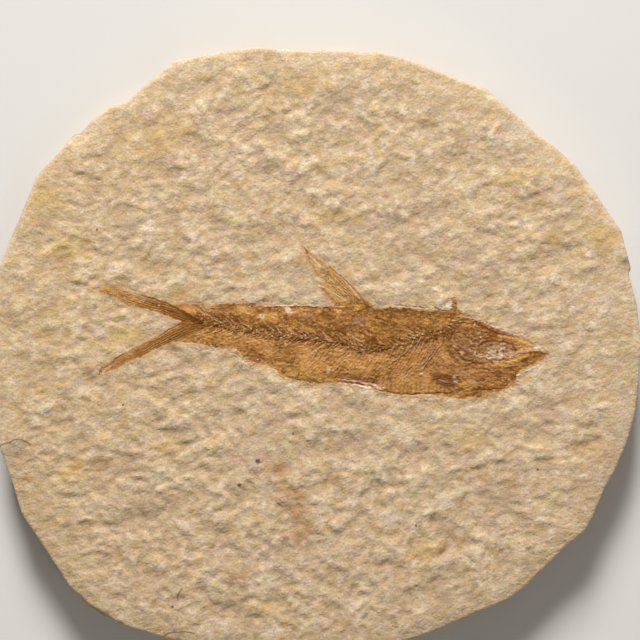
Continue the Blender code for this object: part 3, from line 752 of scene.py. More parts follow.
def paint_film(canvas):
    """The film's cover, the crushed bone's colours and relief, and painted highlights along its raised
    squiggles.
    """
    x, y, field = canvas.x, canvas.y, canvas.field
    soft = np.clip(0.16 + 0.6 * field(3, 3, 74, octaves=2), 0.04, 0.6)
    ragged = 0.24 * field(0.9, 0.6, 62) + 0.12 * field(0.25, 0.2, 67, octaves=1)
    fin = smooth_step(7.2, 8.4, y) * (x < 9)
    worn = smooth_step(0.1, 0.9, field(1.2, 0.9, 63))
    canvas.film = smooth_step(-0.12 - 0.2 * soft, 0.1 + soft, canvas.depth + ragged)
    canvas.film *= 1 - fin * (0.28 + 0.27 * worn)
    smooth = np.maximum(smooth_step(-18, -21.5, x), fin)  # the tail's lobes and the fin
    crushed = 1 - smooth
    off_spine = y - height_on(BACKBONE, x)
    upper = smooth_step(-0.5, 1.5, off_spine) * crushed
    spine = np.exp(-(off_spine / 1.5) ** 2) * crushed * smooth_step(24, 21, x)
    calm = np.exp(-((x - 14.2) / 4.6) ** 2 - ((y + 5) / 1.1) ** 2)  # the scutes along the belly
    # painted highlight: squiggles on raised lines turned pale and warm
    lit = squiggles(canvas, 0.55, 75) * crushed * (0.35 + 0.3 * upper + 0.75 * spine)
    broken = squiggles(canvas, 0.65, 77) * crushed * (0.4 + 0.2 * upper + 0.5 * spine) * (1 - 0.9 * calm)
    grains = field(0.62, 0.5, 68, octaves=3, keep=0.85) * (0.08 + 0.92 * crushed) * (1 - 0.7 * calm)
    fibres = fibre_field(canvas) * (0.3 * smooth + (0.09 + 0.13 * np.exp(-(off_spine / 2.4) ** 2)) * crushed)
    uneven = np.clip(0.8 + 1.4 * field(1.9, 1.4, 85), 0.15, 1.7)
    fibres = fibres * (1 - 0.9 * calm) * (smooth + crushed * uneven)
    coarse = field(2.4, 1.5, 64, octaves=4, keep=0.75) * (1 - 0.6 * smooth)
    dark = 0.14 + 0.12 * upper + 0.38 * spine - 0.12 * fin + 0.78 * coarse + 0.3 * field(4.2, 2.4, 70)
    dark = dark + 0.42 * fibres + 0.34 * grains + 0.6 * broken - 0.5 * lit
    warm = 0.22 + 0.42 * smooth_step(-24, -33, x) + 0.45 * fin + field(2.2, 1.5, 65)
    warm = warm - 0.6 * fibres - 0.5 * grains + 0.5 * lit
    pale = 0.55 * lit - 0.3 * fibres - 0.42 * grains - 0.36
    grey = 0.9 * field(2.4, 1.6, 69) - 0.18 + 0.2 * spine
    canvas.tints = np.stack([dark, warm, pale, grey], axis=-1).clip(0, 0.9)
    canvas.height = -0.034 * fibres - 0.05 * grains + 0.05 * lit - 0.06 * broken


def paint_needles(line, spot, random):
    """The many thin bones between the muscles, swept back from the backbone."""
    for _ in range(NEEDLE_COUNT):
        x = random.uniform(-18, 20.5)
        spine = height_on(BACKBONE, x)
        above = random.random() < 0.52
        y = spine + (height_on(BACK_LINE if above else BELLY_LINE, x) - spine) * random.uniform(0.08, 0.92)
        turn = math.radians(random.normal(148 if above else 218, 13))
        length = random.uniform(0.5, 1.8)
        step = np.array([math.cos(turn), math.sin(turn)]) * length
        bend = random.normal(0, 0.1) * length
        points = [(x, y), (x + step[0] / 2 - bend, y + step[1] / 2 + bend), (x + step[0], y + step[1])]
        tint = random.choice([DARK, DARK, DARK, PALE, WARM])
        strength = random.uniform(0.4, 0.95) * (0.5 if tint == PALE else 1)
        line(points, random.uniform(0.16, 0.3), tint, strength, random.normal(0, 0.02), (1, 0.4))


def paint_ribs(line, spot, random):
    for i in range(RIB_COUNT):
        x = 1.2 + i * RIB_PITCH + random.normal(0, 0.06)
        y = height_on(BACKBONE, x) - 0.4
        drop = y - height_on(BELLY_LINE, x) - random.uniform(0.8, 1.6)
        lean = 0.66 if x > 9 else 0.95
        rib = np.array([(x, y), (x - drop * lean * 0.42, y - drop * 0.5), (x - drop * lean, y - drop)])
        line(rib, 0.28, DARK, random.choice([0.05, 0.15, 0.4]), -0.02, (1, 0.5))
        line(rib + (0.22, 0), 0.22, WARM, random.uniform(0.1, 0.6), 0.02, (1, 0.5))
    for rib in LONG_RIBS:
        line(rib, 0.26, DARK, 0.85, -0.02, (1, 0.6))
        line(np.subtract(rib, (0.24, 0)), 0.18, PALE, 0.4, 0.03, (0.8, 0.4))
    for i in range(8):
        foot = 15.2 + i * 0.72 + random.normal(0, 0.1)
        low = -2.5 - random.uniform(0, 0.6)
        bone = ((17.8 + 0.1 * i, 1), (17 + i * 0.3, -0.6), (foot, low))
        line(bone, 0.2, DARK, random.uniform(0.3, 0.8), -0.03, (0.5, 0.5))
        line(((18 + 0.1 * i, 1), (17.2 + i * 0.3, -0.6), (foot + 0.24, low)), 0.18, GREY, 0.6, 0.03)


def paint_scutes(line, spot, random):
    """The soft bars along the belly."""
    for i in range(SCUTE_COUNT):
        x = 9.6 + i * SCUTE_PITCH + random.normal(0, 0.05)
        foot = height_on(BELLY_LINE, x) + 0.35
        top = foot + random.uniform(1.1, 2.1)
        line(((x, foot), (x + 0.15, top)), 0.44, DARK, random.uniform(0.05, 0.3), -0.01, (0.8, 0.4), 0.9)
        line(((x + 0.32, foot), (x + 0.45, top)), 0.64, WARM, random.uniform(0.4, 0.9), 0.01, soft=0.9)


def paint_backbone(line, spot, random):
    path = smoothed(BACKBONE, 600)
    run = np.concatenate([[0], np.cumsum(np.hypot(*np.diff(path, axis=0).T))])
    lower = path[::8] + np.column_stack([np.zeros(75), -0.52 + 0.2 * random.normal(size=75)])
    line(lower, 0.42, DARK, 0.6, -0.04, (0.7, 1))
    for i in range(int(run[-1] / VERTEBRA_PITCH)):
        at = (i + 0.5 + random.normal(0, 0.15)) * VERTEBRA_PITCH
        p, q = (np.array([np.interp(place, run, path[:, k]) for k in (0, 1)]) for place in (at, at + 0.3))
        ahead = (q - p) / max(np.linalg.norm(q - p), 1e-6)
        up = np.array([-ahead[1], ahead[0]])
        for side in (1, -1):
            apex = p + ahead * random.uniform(0.15, 0.4) + up * side * random.uniform(0, 0.3)
            foot = p - ahead * random.uniform(0.4, 1.1) + up * side * random.uniform(0.5, 1.1)
            arch = np.array([apex, foot])
            line(arch, random.uniform(0.24, 0.36), DARK, random.uniform(0.6, 1.05), -0.05, (1, 0.5))
            if random.random() < 0.6:
                tint = random.choice([PALE, WARM, WARM])
                line(arch + (0.16, 0.2), 0.2, tint, random.uniform(0.35, 0.75), 0.05, (1, 0.4))
        spot(p + random.normal(0, 0.15, 2), (0.3, 0.22), DARK, random.uniform(0.4, 0.9), raised=0.03)
        fleck = p + up * random.uniform(-0.6, 0.6)
        halves = (random.uniform(0.1, 0.22), 0.1)
        spot(fleck, halves, PALE, random.uniform(0.3, 0.8), random.uniform(0, 90), 0.4, 0.05)
        reach = height_on(BACK_LINE, p[0]) - p[1]
        lean = random.uniform(0.5, 0.85)
        tip = p + np.array([-reach * random.uniform(0.5, 0.9), reach * lean])
        middle = (p + tip) / 2 + random.normal(0, 0.1, 2)
        line([p, middle, tip], 0.22, DARK, random.uniform(0.15, 0.55), -0.02, (1, 0.4))
        if p[0] < 6:
            long = min(p[1] - height_on(BELLY_LINE, p[0]), random.uniform(0.7, 2.3))
            start = p + np.array([random.normal(0.2, 0.2), -0.4])
            tip = start + np.array([-long * random.uniform(0.9, 1.3), -long * random.uniform(0.45, 0.75)])
            bone = np.array([start, (start + tip) / 2 - np.array([0, random.uniform(0, 0.25)]), tip])
            line(bone, 0.36, DARK, random.choice([0.1, 0.4, 0.9]), -0.03, (1, 0.4))
            line(bone + (0.02, -0.26), 0.3, WARM, random.uniform(0.3, 0.8), 0.02)


def paint_tail(line, spot, random):
    for lobe in (UPPER_RAYS, LOWER_RAYS):
        for share in (np.arange(RAYS_PER_LOBE) + 0.5) / RAYS_PER_LOBE:
            path = between(*lobe, share)
            middle = 1 - abs(2 * share - 1)
            first = random.integers(0, 5)
            line(path[first:], 0.2, DARK, 0.32 + 0.28 * middle, -0.02, (0.6, 1))
            line(path[8:], 0.24, DARK, 0.4 + 0.35 * middle, -0.01, (0.4, 1))
            line(path[first:18] + (0.03, 0.15), 0.2, WARM, random.uniform(0.2, 0.6), 0.03, (0.6, 0.6))
            if random.random() < 0.6:
                cut = random.integers(3, 14)
                line(path[cut:cut + 6] + (0.03, 0.12), 0.14, PALE, 0.4, 0.03, (0.5, 0.5))
    line(((-30.8, -1.5), (-27, 0.5), (-24.2, 2), (-20.6, 3.2)), 2.1, ends=(0.8, 1), soft=0.3, film=1)
    spot((-23, 6.7), (4, 0.9), DARK, 0.3, -25, 0.5)
    spot((-22, 2.9), (4, 0.9), DARK, 0.3, 28, 0.5)
    stem = ((-24.6, 8.2), (-23.3, 7.7), (-21.2, 6.7), (-19.3, 5.6), (-17.7, 4.7))
    line(stem, 0.6, DARK, 0.95, 0.05, (0.4, 1))
    line(((-28, 8.6), (-25.8, 7.9), (-24, 7.2), (-22, 6.3)), 0.8, DARK, 0.5, 0.02, (0.3, 1))
    line(((-27, 0.6), (-24.5, 2.1), (-21.8, 3.3), (-18.6, 4.2)), 0.9, DARK, 0.4, 0.02, (0.2, 1))
    for low, high in ((1.6, 3.5), (2, 3.8), (1.2, 3.2)):
        line(((-22.8, low), (-20.6, high - 0.7), (-17.5, high + 0.5)), 0.16, DARK, 0.6, 0.02, (0.5, 1))
    spot((-33.5, -3), (0.3, 0.6), DARK, 0.9, 30)
    spot((-30.2, 9.3), (1.9, 0.5), DARK, 0.35, -24, 0.6)
    line(((-33.2, -3.2), (-32.6, -2.5), (-31.9, -2.1)), 0.35, PALE, 0.55)
    line(((-33.6, -2.6), (-33, -2), (-31.4, -1.2)), 0.14, DARK, 0.7)
    line(((-33.7, -3.4), (-33.6, -2.8), (-33.1, -2.3)), 0.3, DARK, 1, 0, (0.8, 0.6), film=1)
    spot((-24.4, 7.3), (0.12, 0.12), PALE, 1, 0, 0, 0.06)


def paint_dorsal_fin(line, spot, random):
    for i, share in enumerate((np.arange(DORSAL_RAY_COUNT) + 0.5) / DORSAL_RAY_COUNT):
        path = between(*DORSAL_RAYS, share)[:RAY_POINTS - int(6 * abs(share - 0.4))]
        line(path, 0.22, DARK, 0.25 + 0.6 * math.exp(-((share - 0.22) / 0.22) ** 2), -0.02, (1, 0.5))
        line(path + (0.15, 0.12), 0.2, WARM, 0.7, 0.03, (1, 0.5))
        if i in (3, 6, 8):
            line(path[1:16] + (0.16, 0.13), 0.16, WARM, 0.9, 0.03, (1, 0.5))
    for share, first, last in BRIGHT_RAYS:
        line(between(*DORSAL_RAYS, share)[first:last] + (0.05, 0.05), 0.26, PALE, 0.42, 0.02, (0.6, 0.6))
    spot((1.9, 9.9), (1.5, 0.5), WARM, 0.6, -42, 0.5)
    spot((0.6, 13.2), (1.4, 0.4), PALE, 0.4, -40, 0.5)
    line(((8.4, 7.4), (6.3, 9.6), (4.3, 11.5), (1.9, 13.4)), 0.2, DARK, 0.55, 0.04, (1, 0.5))
    line(((-1.3, 15.2), (-0.3, 14.2), (0.9, 13.1)), 0.36, PALE, 0.45, 0.02, (0.8, 0.5), film=-1.2)
    line(((0.1, 13.9), (1.2, 12.9), (2.4, 12.2)), 0.2, PALE, 0.6, 0.03, (0.6, 0.6))
    spot((1.5, 12.5), (1.1, 0.5), DARK, 0.75, -35, 0.8, 0.02)
    spot((3.9, 12.3), (1.3, 0.45), turn=-42, ragged=0.9, film=-0.6)
    spot((7.2, 8), (1.4, 0.7), DARK, 0.4, -50, 0.5)
    spot((3.4, 8.9), (1.8, 0.7), WARM, 0.6, -40, 0.5)
    line(((0.4, 10.5), (2.7, 9.35), (5.1, 7.8)), 0.26, PALE, 0.7, 0.03, (0.9, 0.5), film=-0.5)
    spot((0.5, 11.3), (0.8, 0.35), PALE, 0.6, -30, film=-0.8)
    line(((4, 11.4), (5.3, 9.9), (6.6, 8.4)), 0.2, PALE, 0.9, 0.03, (0.4, 0.8))
    for shift in (-0.35, 0.1, 0.55, 1):
        line(((2.9 - shift, 10.8), (4.8 - shift, 9.1), (6.5 - shift, 7.5)), 0.22, DARK, 0.75, -0.01, (0.4, 1))


def paint_lower_fins(line, spot, random):
    """The anal, pelvic and pectoral fins."""
    for i in range(9):  # rays of the anal fin
        x = -11.4 + i * 0.55
        y = height_on(BELLY_LINE, x) + 0.35
        line(((x + 0.8, y + 0.7), (x, y), (x - 0.9, y - 0.35)), 0.15, DARK, 0.55, 0.02, (1, 0.4), 0.7)
    spot((-9.1, -1.1), (0.14, 0.12), PALE, 1, 0, 0, 0.05)
    for i in range(7):  # streaks between it and the pelvic fin
        x, y = -7 + i * 0.4, -3 - i * 0.13
        line(((x, y), (x + 3.2, y - 0.65), (x + 6.2, y - 1.05)), 0.14, DARK, 0.5, 0.02, (0.4, 0.8))
    for i in range(6):  # rays of the pelvic fin
        y = -3.1 - i * 0.27
        ray = ((1.2 + 0.5 * i, y - 0.4), (3.6 + 0.3 * i, y - 0.1), (6 + 0.2 * i, y - 0.5), (9.6, y - 1.25))
        line(ray, 0.3, DARK, 0.95 if i < 5 else 0.6, -0.02, (0.5, 0.6), 0.7)
        line(np.subtract(ray, (0, 0.15)), 0.1, GREY, 0.6, 0, (0.5, 0.6), 0.8)
    for y, width, tint in ((-4.15, 0.34, PALE), (-4.45, 0.26, DARK), (-4.72, 0.34, PALE), (-5, 0.24, DARK)):
        line(((3.4, y), (6.2, y - 0.28), (9.4, y - 0.95)), width, tint, 0.95, 0.02, (0.3, 0.9))
    spot((9.6, -5.35), (0.9, 0.28), PALE, 0.9, -15, raised=0.03, film=0.5)
    spot((19.7, -4.2), (2.2, 1), DARK, 0.85, -14, 0.5)
    for i in range(6):  # rays of the pectoral fin
        y = -3.2 - i * 0.3
        ray = ((17.4 + 0.2 * i, y - 0.1), (19.4, y - 0.3), (21.8 - 0.1 * i, y - 0.62))
        line(ray, 0.36, DARK, 1.2, -0.03, (0.4, 0.9))
        line(np.subtract(ray, (0, 0.17)), 0.13, GREY, 0.6, 0.03, (0.4, 0.8))
    line(((19, -4.2), (20.4, -4.6)), 0.14, PALE, 0.45)
    for centre in ((21.3, -3.8), (21.8, -3), (21.5, -4.5)):
        spot(centre, (0.34, 0.26), PALE, 0.42, 40, raised=0.03)


def paint_skull(line, spot, random):
    spot((25.8, 1.9), (2.6, 1.7), DARK, 0.38, -15)
    spot((22.6, 0.8), (1.6, 2.4), GREY, 0.45, 20)
    spot((23.4, 0.2), (1.9, 2), DARK, 0.34, 20, 0.9)
    for _ in range(SKULL_SPLINTERS):
        x, y = random.uniform(20.6, 27), random.uniform(-1.2, 5.2)
        turn = math.radians(random.normal(-26, 22))
        length = random.uniform(0.25, 0.9)
        end = (x + length * math.cos(turn), y + length * math.sin(turn))
        tint = random.choice([DARK, DARK, DARK, WARM, WARM, GREY, PALE])
        strength = random.uniform(0.35, 0.8) * (0.5 if tint == PALE else 1)
        line(((x, y), end), random.uniform(0.16, 0.32), tint, strength, random.normal(0, 0.03))
    # the roof: a pale pink strip with dark seams under it
    roof = ((22.6, 5.55), (25.2, 5.05), (27, 4.1), (28.8, 3.35), (31.4, 2.6))
    line(roof, 0.95, GREY, 0.9, 0, (0.7, 0.5), 0.8)
    line(roof, 0.7, WARM, 0.6, 0.05, (0.7, 0.5), 0.8)
    line(roof, 0.3, PALE, 0.45, 0.03, (0.7, 0.5))
    line(((27.6, 4), (29.6, 3.4), (31.8, 2.7)), 0.26, WARM, 0.55, 0.02)
    line(((21.8, 4.6), (24.2, 4.5), (25.6, 4.1), (27, 3.35), (28.6, 2.75), (30.6, 2.3)), 0.42, DARK, 1, -0.03)
    line(((22.8, 3.9), (25, 3.4), (27, 2.9), (28.4, 2.6)), 0.42, DARK, 0.9, -0.02, (0.4, 0.9))
    line(((20.6, 4.6), (22.2, 5.1), (23.4, 5.2)), 0.34, DARK, 0.75, 0.03)
    line(((26.2, 2.2), (27.6, 2.6), (28.8, 2.7)), 0.34, DARK, 0.75, 0.02)
    # the orange bone from over the orbit to the snout
    line(((28.2, 2.5), (30.2, 2.2), (32, 1.6), (33.8, 0.7)), 0.95, WARM, 0.85, 0.06, (0.7, 0.6))
    line(((28.4, 2), (29.8, 1.9), (30.8, 1.2), (31.9, 1.1)), 0.22, DARK, 0.7, -0.02)
    line(((31, 2.75), (32.7, 2), (34.2, 0.95)), 0.16, DARK, 0.5)


def paint_orbit(line, spot, random):
    """The eye socket, filled with crystals."""
    spot((28, 0.15), (3.5, 1.55), GREY, 1, 3, 0.5, -0.04)
    spot((27.9, -0.05), (3, 1.05), PALE, 0.26, 3, 0.8)
    for _ in range(ORBIT_CRYSTALS):
        x, y = random.normal(27.9, 1.5), random.normal(0.1, 0.72)
        tint = random.choice([PALE, PALE, DARK, GREY, DARK])
        size = random.uniform(0.14, 0.28)
        halves = (size, size * random.uniform(0.75, 1))
        strength, raised = random.uniform(0.25, 0.65), random.normal(0.01, 0.02)
        spot((x, y), halves, tint, strength, random.uniform(0, 180), 0.2, raised)
    spot((25.7, 0.4), (1, 0.8), DARK, 0.6, 0, 1)
    spot((30, 0.8), (0.9, 0.5), DARK, 0.7, -20, 1)
    spot((27.2, 0.9), (1.1, 0.35), GREY, 0.7, 5, 0.8)
    spot((28.6, -0.45), (1.3, 0.35), PALE, 0.35, 5, 0.8, 0.02)
    line(((24.6, -0.2), (25.3, 1.2), (26.4, 1.9), (27.8, 1.8), (29.4, 1.7)), 0.6, DARK, 0.95, 0, (0.5, 0.8))
    line(((29.2, 1.7), (30.3, 1.2), (30.9, 0.3)), 0.6, DARK, 0.85, 0, (0.7, 0.6))
    line(((24.2, -0.45), (26.6, -0.8), (28.6, -0.85)), 0.24, PALE, 0.45, 0.03)
    line(((26.2, -1.05), (28.2, -1.2), (29.6, -1.1)), 0.34, DARK, 0.7)


def paint_jaws(line, spot, random):
    mouth = smoothed(((30, -0.6), (30.8, -0.1), (31.7, 0.35), (32.8, 0.45), (34.4, 0.55)), 20)
    line(mouth, 0.95, PALE, 0.52, 0.02, (0.6, 0.8))
    line(mouth + (0.1, 0.42), 0.14, DARK, 0.5)
    line(((31.6, -0.15), (33, 0), (34.4, 0.2), (35.4, -0.2)), 0.48, DARK, 0.85, 0.03, (0.5, 0.7))
    spot((34.1, 0.75), (0.55, 0.32), PALE, 0.8, -10, raised=0.04, film=0.6)
    spot((35.3, -0.25), (0.9, 0.42), GREY, 0.9, 20, film=0.85)
    line(((33.7, 0), (34.7, -0.1), (35.9, -0.3)), 0.55, DARK, 0.75, 0, (0.7, 0.7), film=0.8)
    line(((27.9, -1.7), (29.6, -1.7), (31, -1.3), (32.2, -0.8)), 1.15, WARM, 0.9, 0.07, (0.8, 0.6))
    line(((31.9, -1.2), (33, -0.8), (34.8, -0.4)), 0.95, DARK, 0.55, 0, (0.8, 0.7))
    line(((28.2, -2.4), (29.6, -2.35), (31.2, -2.1)), 0.26, DARK, 0.65)
    line(((31.8, -2.25), (33.2, -1.75), (34.4, -1)), 0.22, DARK, 0.55, -0.02)


def paint_cheek(line, spot, random):
    """The cheek and the gill cover."""
    cheek = smoothed(((20.6, 0.4), (21.3, -0.9), (22.4, -1.9), (23.4, -2.05), (24.5, -1.55), (26, -1.7)), 24)
    line(cheek, 0.8, DARK, 0.6, -0.02, (0.7, 0.6), 0.9)
    line(cheek + (-0.25, -0.1), 0.3, DARK, 0.7, -0.02, (0.5, 0.9))
    line(cheek[3:20] + (0.25, 0.4), 0.26, GREY, 0.7, 0.02)
    line(cheek[6:24] + (0.35, 0.75), 0.22, DARK, 0.7, -0.02)
    line(cheek[0:14] + (-0.75, 0.1), 0.26, WARM, 0.6, 0.02)
    line(((21.6, 1.2), (22.8, 0.3), (23.6, -0.4), (25.2, -0.9)), 0.34, DARK, 0.55)
    line(((22, 0), (22.9, -1), (24.2, -1.3)), 0.45, DARK, 0.8)
    line(((23, -2.6), (24.6, -2.4), (26.2, -2.5), (27.6, -3.2)), 0.42, DARK, 0.75)
    line(((26.6, -1.8), (27.4, -2.8), (28.6, -3.3)), 0.26, DARK, 0.5)
    spot((24.6, -3.2), (1.3, 0.9), WARM, 0.45, raised=0.03)
    spot((23.6, -5), (1.8, 0.6), WARM, 0.55, 5, raised=0.02)
    for _ in range(CHEEK_SPLINTERS):
        x, y = random.uniform(22.4, 29.5), random.uniform(-5.6, -2.4)
        tint = random.choice([DARK, DARK, WARM, PALE])
        end = (x + random.uniform(0.7, 1.9), y + random.normal(-0.05, 0.18))
        line(((x, y), end), random.uniform(0.14, 0.26), tint, random.uniform(0.35, 0.75), 0.02, (0.5, 0.5))
    line(((24.6, -5.7), (26.4, -5.8), (28.6, -5.5)), 0.62, DARK, 1, -0.02, (0.4, 0.4))
    line(((25.6, -5.3), (27.8, -5.35), (30.2, -5.4)), 0.2, GREY, 0.7, 0.02, (0.4, 0.4))
    line(((18.8, -6.5), (20.2, -7), (22.2, -7.05), (24, -6.7)), 0.24, DARK, 0.8, -0.02, (0.5, 0.5))


def paint_edges(line, spot, random):
    """The lips of stone and film along the back and the belly, with a painted highlight and painted shadows
    over the back and a pale spot that lightens a bump's shade beside the spur.
    """
    back = ((-8.6, 6.95), (-4.9, 7), (-1.8, 7), (1.3, 6.95), (4.4, 6.85))
    line(back, 0.7, ends=(0.6, 0.8), soft=0.3, film=1)
    # painted highlight on the stone's lip over the back, and under it a dark line of painted shadow
    line(np.add(back, (0, 0.22)), 0.24, PALE, 0.95, 0.06, (0.5, 0.6))
    line(np.subtract(back, (0, 0.05)), 0.2, DARK, 0.5, 0, (0.5, 0.8))
    nape = ((12.2, 6.65), (13.3, 6.75), (14.8, 6.6), (16.8, 6.15), (19.1, 6.15), (21.2, 6))
    line(nape, 0.75, DARK, 0.6, 0, (0.8, 0.6), 0.9)
    line(((8.8, 6.9), (10.5, 6.85), (12.2, 6.75)), 0.22, DARK, 0.5)
    # painted shadow along a step of the stone over the back
    line(((11.2, 7.75), (13.1, 7.25), (15.4, 7.1), (17.6, 6.8)), 0.22, DARK, 1, -0.06, (0.5, 0.6), film=0.8)
    line(((-21.4, 7.6), (-19.6, 7.7), (-18.1, 7.6), (-16.2, 7.3)), 1, raised=0.02, ends=(0.7, 0.6), film=0.55)
    line(((-20, 7.9), (-18.5, 7.95), (-17.3, 7.65)), 0.18, DARK, 0.9, 0, (0.5, 0.6), film=0.6)
    belly = ((8.6, -5.5), (10.4, -6), (12.8, -6.4), (15.6, -6.4), (18.2, -6.25), (20.8, -6.3))
    line(belly, 0.42, DARK, 1, -0.04, (0.7, 0.6), film=1)
    line(((21.3, 6.3), (21.4, 7.9)), 0.95, raised=0.03, soft=0.3, film=1)
    line(((21.45, 6.3), (21.55, 7.8)), 0.3, DARK, 0.7, 0, (1, 0.8))
    line(((31, -3.5), (32.6, -2.8), (34.4, -2)), 0.45, PALE, 0.9, 0.05, (0.6, 0.6), 0.7)
    # painted light: a pale spot that lightens the shade of a bump beside the spur
    spot((20, 7.3), (1.4, 0.6), PALE, 0.6, 0, 0.6, 0.04)
    for centre, halves, turn, film in SHREDS:
        spot(centre, halves, turn=turn, ragged=0.8, film=film)
    spot((-4.3, 6.45), (0.62, 0.52), PALE, 1, -20, 0.5, 0.1)
    spot((-8.5, 5.6), (0.55, 0.36), PALE, 0.75, -25, 0.5, 0.06)
    spot((16.2, -3.3), (0.34, 0.24), PALE, 0.6, 20, raised=0.05)
    spot((1.8, -2.7), (0.5, 0.28), PALE, 0.7, 50, raised=0.05)
    spot((-0.2, 0.2), (0.22, 0.14), PALE, 0.6, 20, raised=0.04)


def paint_grit(line, spot, random):
    """Flecks all over the body."""
    for _ in range(GRIT_COUNT):
        x = random.uniform(-19, 33)
        y = random.uniform(height_on(BELLY_LINE, x), height_on(BACK_LINE, x))
        size = random.uniform(0.07, 0.17)
        tint = random.choice([PALE, DARK, DARK])
        strength, raised = random.uniform(0.3, 0.9), random.normal(0.01, 0.02)
        spot((x, y), (size, size * 0.7), tint, strength, 25, 0, raised)


# In this order, each over those before it.
PAINTERS = (
    paint_needles, paint_ribs, paint_scutes, paint_backbone, paint_tail, paint_dorsal_fin, paint_lower_fins,
    paint_skull, paint_orbit, paint_jaws, paint_cheek, paint_edges, paint_grit,
)


def painted_fish():
    canvas = Canvas()
    paint_film(canvas)
    for centre, halves, turn, tint, strength in REGIONS:
        canvas.spot(centre, halves, tint, strength, turn, 0.4)
    for region in GILDED:
        canvas.gild(*region)
    random = np.random.default_rng(MARK_SEED)
    for paint in PAINTERS:
        paint(canvas.line, canvas.spot, random)
    return canvas


# The fish's mesh runs a little past the fish as a skirt of stone that meets the slab's face.

FISH_SPACING = 0.095
FISH_SKIRT = 0.95  # how far it runs past the fish's edge
SKIRT_MEETS = 0.62  # past the fish's edge, where the hollow under the skirt begins
SKIRT_BLEND = 0.1  # further out than that, where the skirt has settled on the slab's face
SKIRT_TUCK = 0.012  # how far its border dips below the slab's face, and the rest stands above it
FISH_FOOT = 6.3  # height of its underside
FISH_SINK = 0.06  # of the film's edge below the stone's face
FISH_DOME = 0.2  # of the fish's middle over its edge
FISH_TOP_LIMIT = 6.97  # just below the top of the solids' box
FILM_GRAIN = 0.035
RAY_START = Vector((0, 0, 20 * MM))  # over the slab


def laid_on(slab, x, y, wanted, otherwise):
    """Heights of the slab's mesh under the wanted places, in millimetres."""
    tree = BVHTree.FromPolygons([v.co for v in slab.data.vertices], [p.vertices for p in slab.data.polygons])
    found = np.array(otherwise)
    for at in zip(*np.nonzero(wanted)):
        hit = tree.ray_cast(RAY_START + Vector((x[at] * MM, y[at] * MM, 0)), Vector((0, 0, -1)))[0]
        if hit:
            found[at] = hit.z / MM
    return found


def cells_within(kept):
    """The cells of a grid whose four corners are kept, with no two of them meeting at a corner alone."""
    cell = kept[:-1, :-1] & kept[1:, :-1] & kept[:-1, 1:] & kept[1:, 1:]
    for _ in range(3):
        rising = cell[:-1, :-1] & cell[1:, 1:] & ~cell[1:, :-1] & ~cell[:-1, 1:]
        falling = cell[1:, :-1] & cell[:-1, 1:] & ~cell[:-1, :-1] & ~cell[1:, 1:]
        cell[1:, :-1] |= rising
        cell[:-1, :-1] |= falling
    return cell


def fish_heights(canvas, slab, x, y, fish_depth, film, stone, relief):
    """Heights of the film, and of the skirt of stone that its edge runs out on."""
    marks = canvas.at(canvas.height, x, y)
    body = smooth_step(-21, -15, x) * smooth_step(8.2, 7.2, y)
    body = body * (0.15 + 0.85 * smooth_step(-0.5, 1.5, y - height_on(BACKBONE, x)))
    uneven = np.clip(0.75 + 0.6 * noise(x / 2.5, y / 2.5, seed=72), 0.1, 1.3)
    flat = TOP - FISH_SINK * (0.25 + 0.75 * body) * uneven + FISH_DOME * smooth_step(0, 2.4, fish_depth)
    fine = FILM_GRAIN * layered(x / 0.46, y / 0.42, seed=71, octaves=3) + 0.25 * relief
    laid = laid_on(slab, x, y, (fish_depth < -SKIRT_MEETS) & (fish_depth > -FISH_SKIRT - 0.3), stone)
    meet = smooth_step(-FISH_SKIRT, -SKIRT_MEETS - SKIRT_BLEND, fish_depth)
    settled = laid - SKIRT_TUCK + 2 * SKIRT_TUCK * meet
    inward = smooth_step(-SKIRT_MEETS - SKIRT_BLEND, -SKIRT_MEETS + 0.35, fish_depth)
    apron = settled + (stone + SKIRT_TUCK - settled) * inward + marks
    height = apron + (flat + fine + marks - apron) * smooth_step(0.25, 0.8, film)
    return np.minimum(height, FISH_TOP_LIMIT)


def border_loops(quads, count):
    """The edges that belong to one quad alone, and the loops of points that they make."""
    edges = np.concatenate([quads[:, [k, (k + 1) % 4]] for k in range(4)])
    border = edges[~np.isin(edges[:, 0] * count + edges[:, 1], edges[:, 1] * count + edges[:, 0])].tolist()
    onward = dict(border)
    loops = []
    while onward:
        loop = [next(iter(onward))]
        while onward[loop[-1]] != loop[0]:
            loop.append(onward.pop(loop[-1]))
        onward.pop(loop[-1])
        loops.append(loop)
    return border, loops


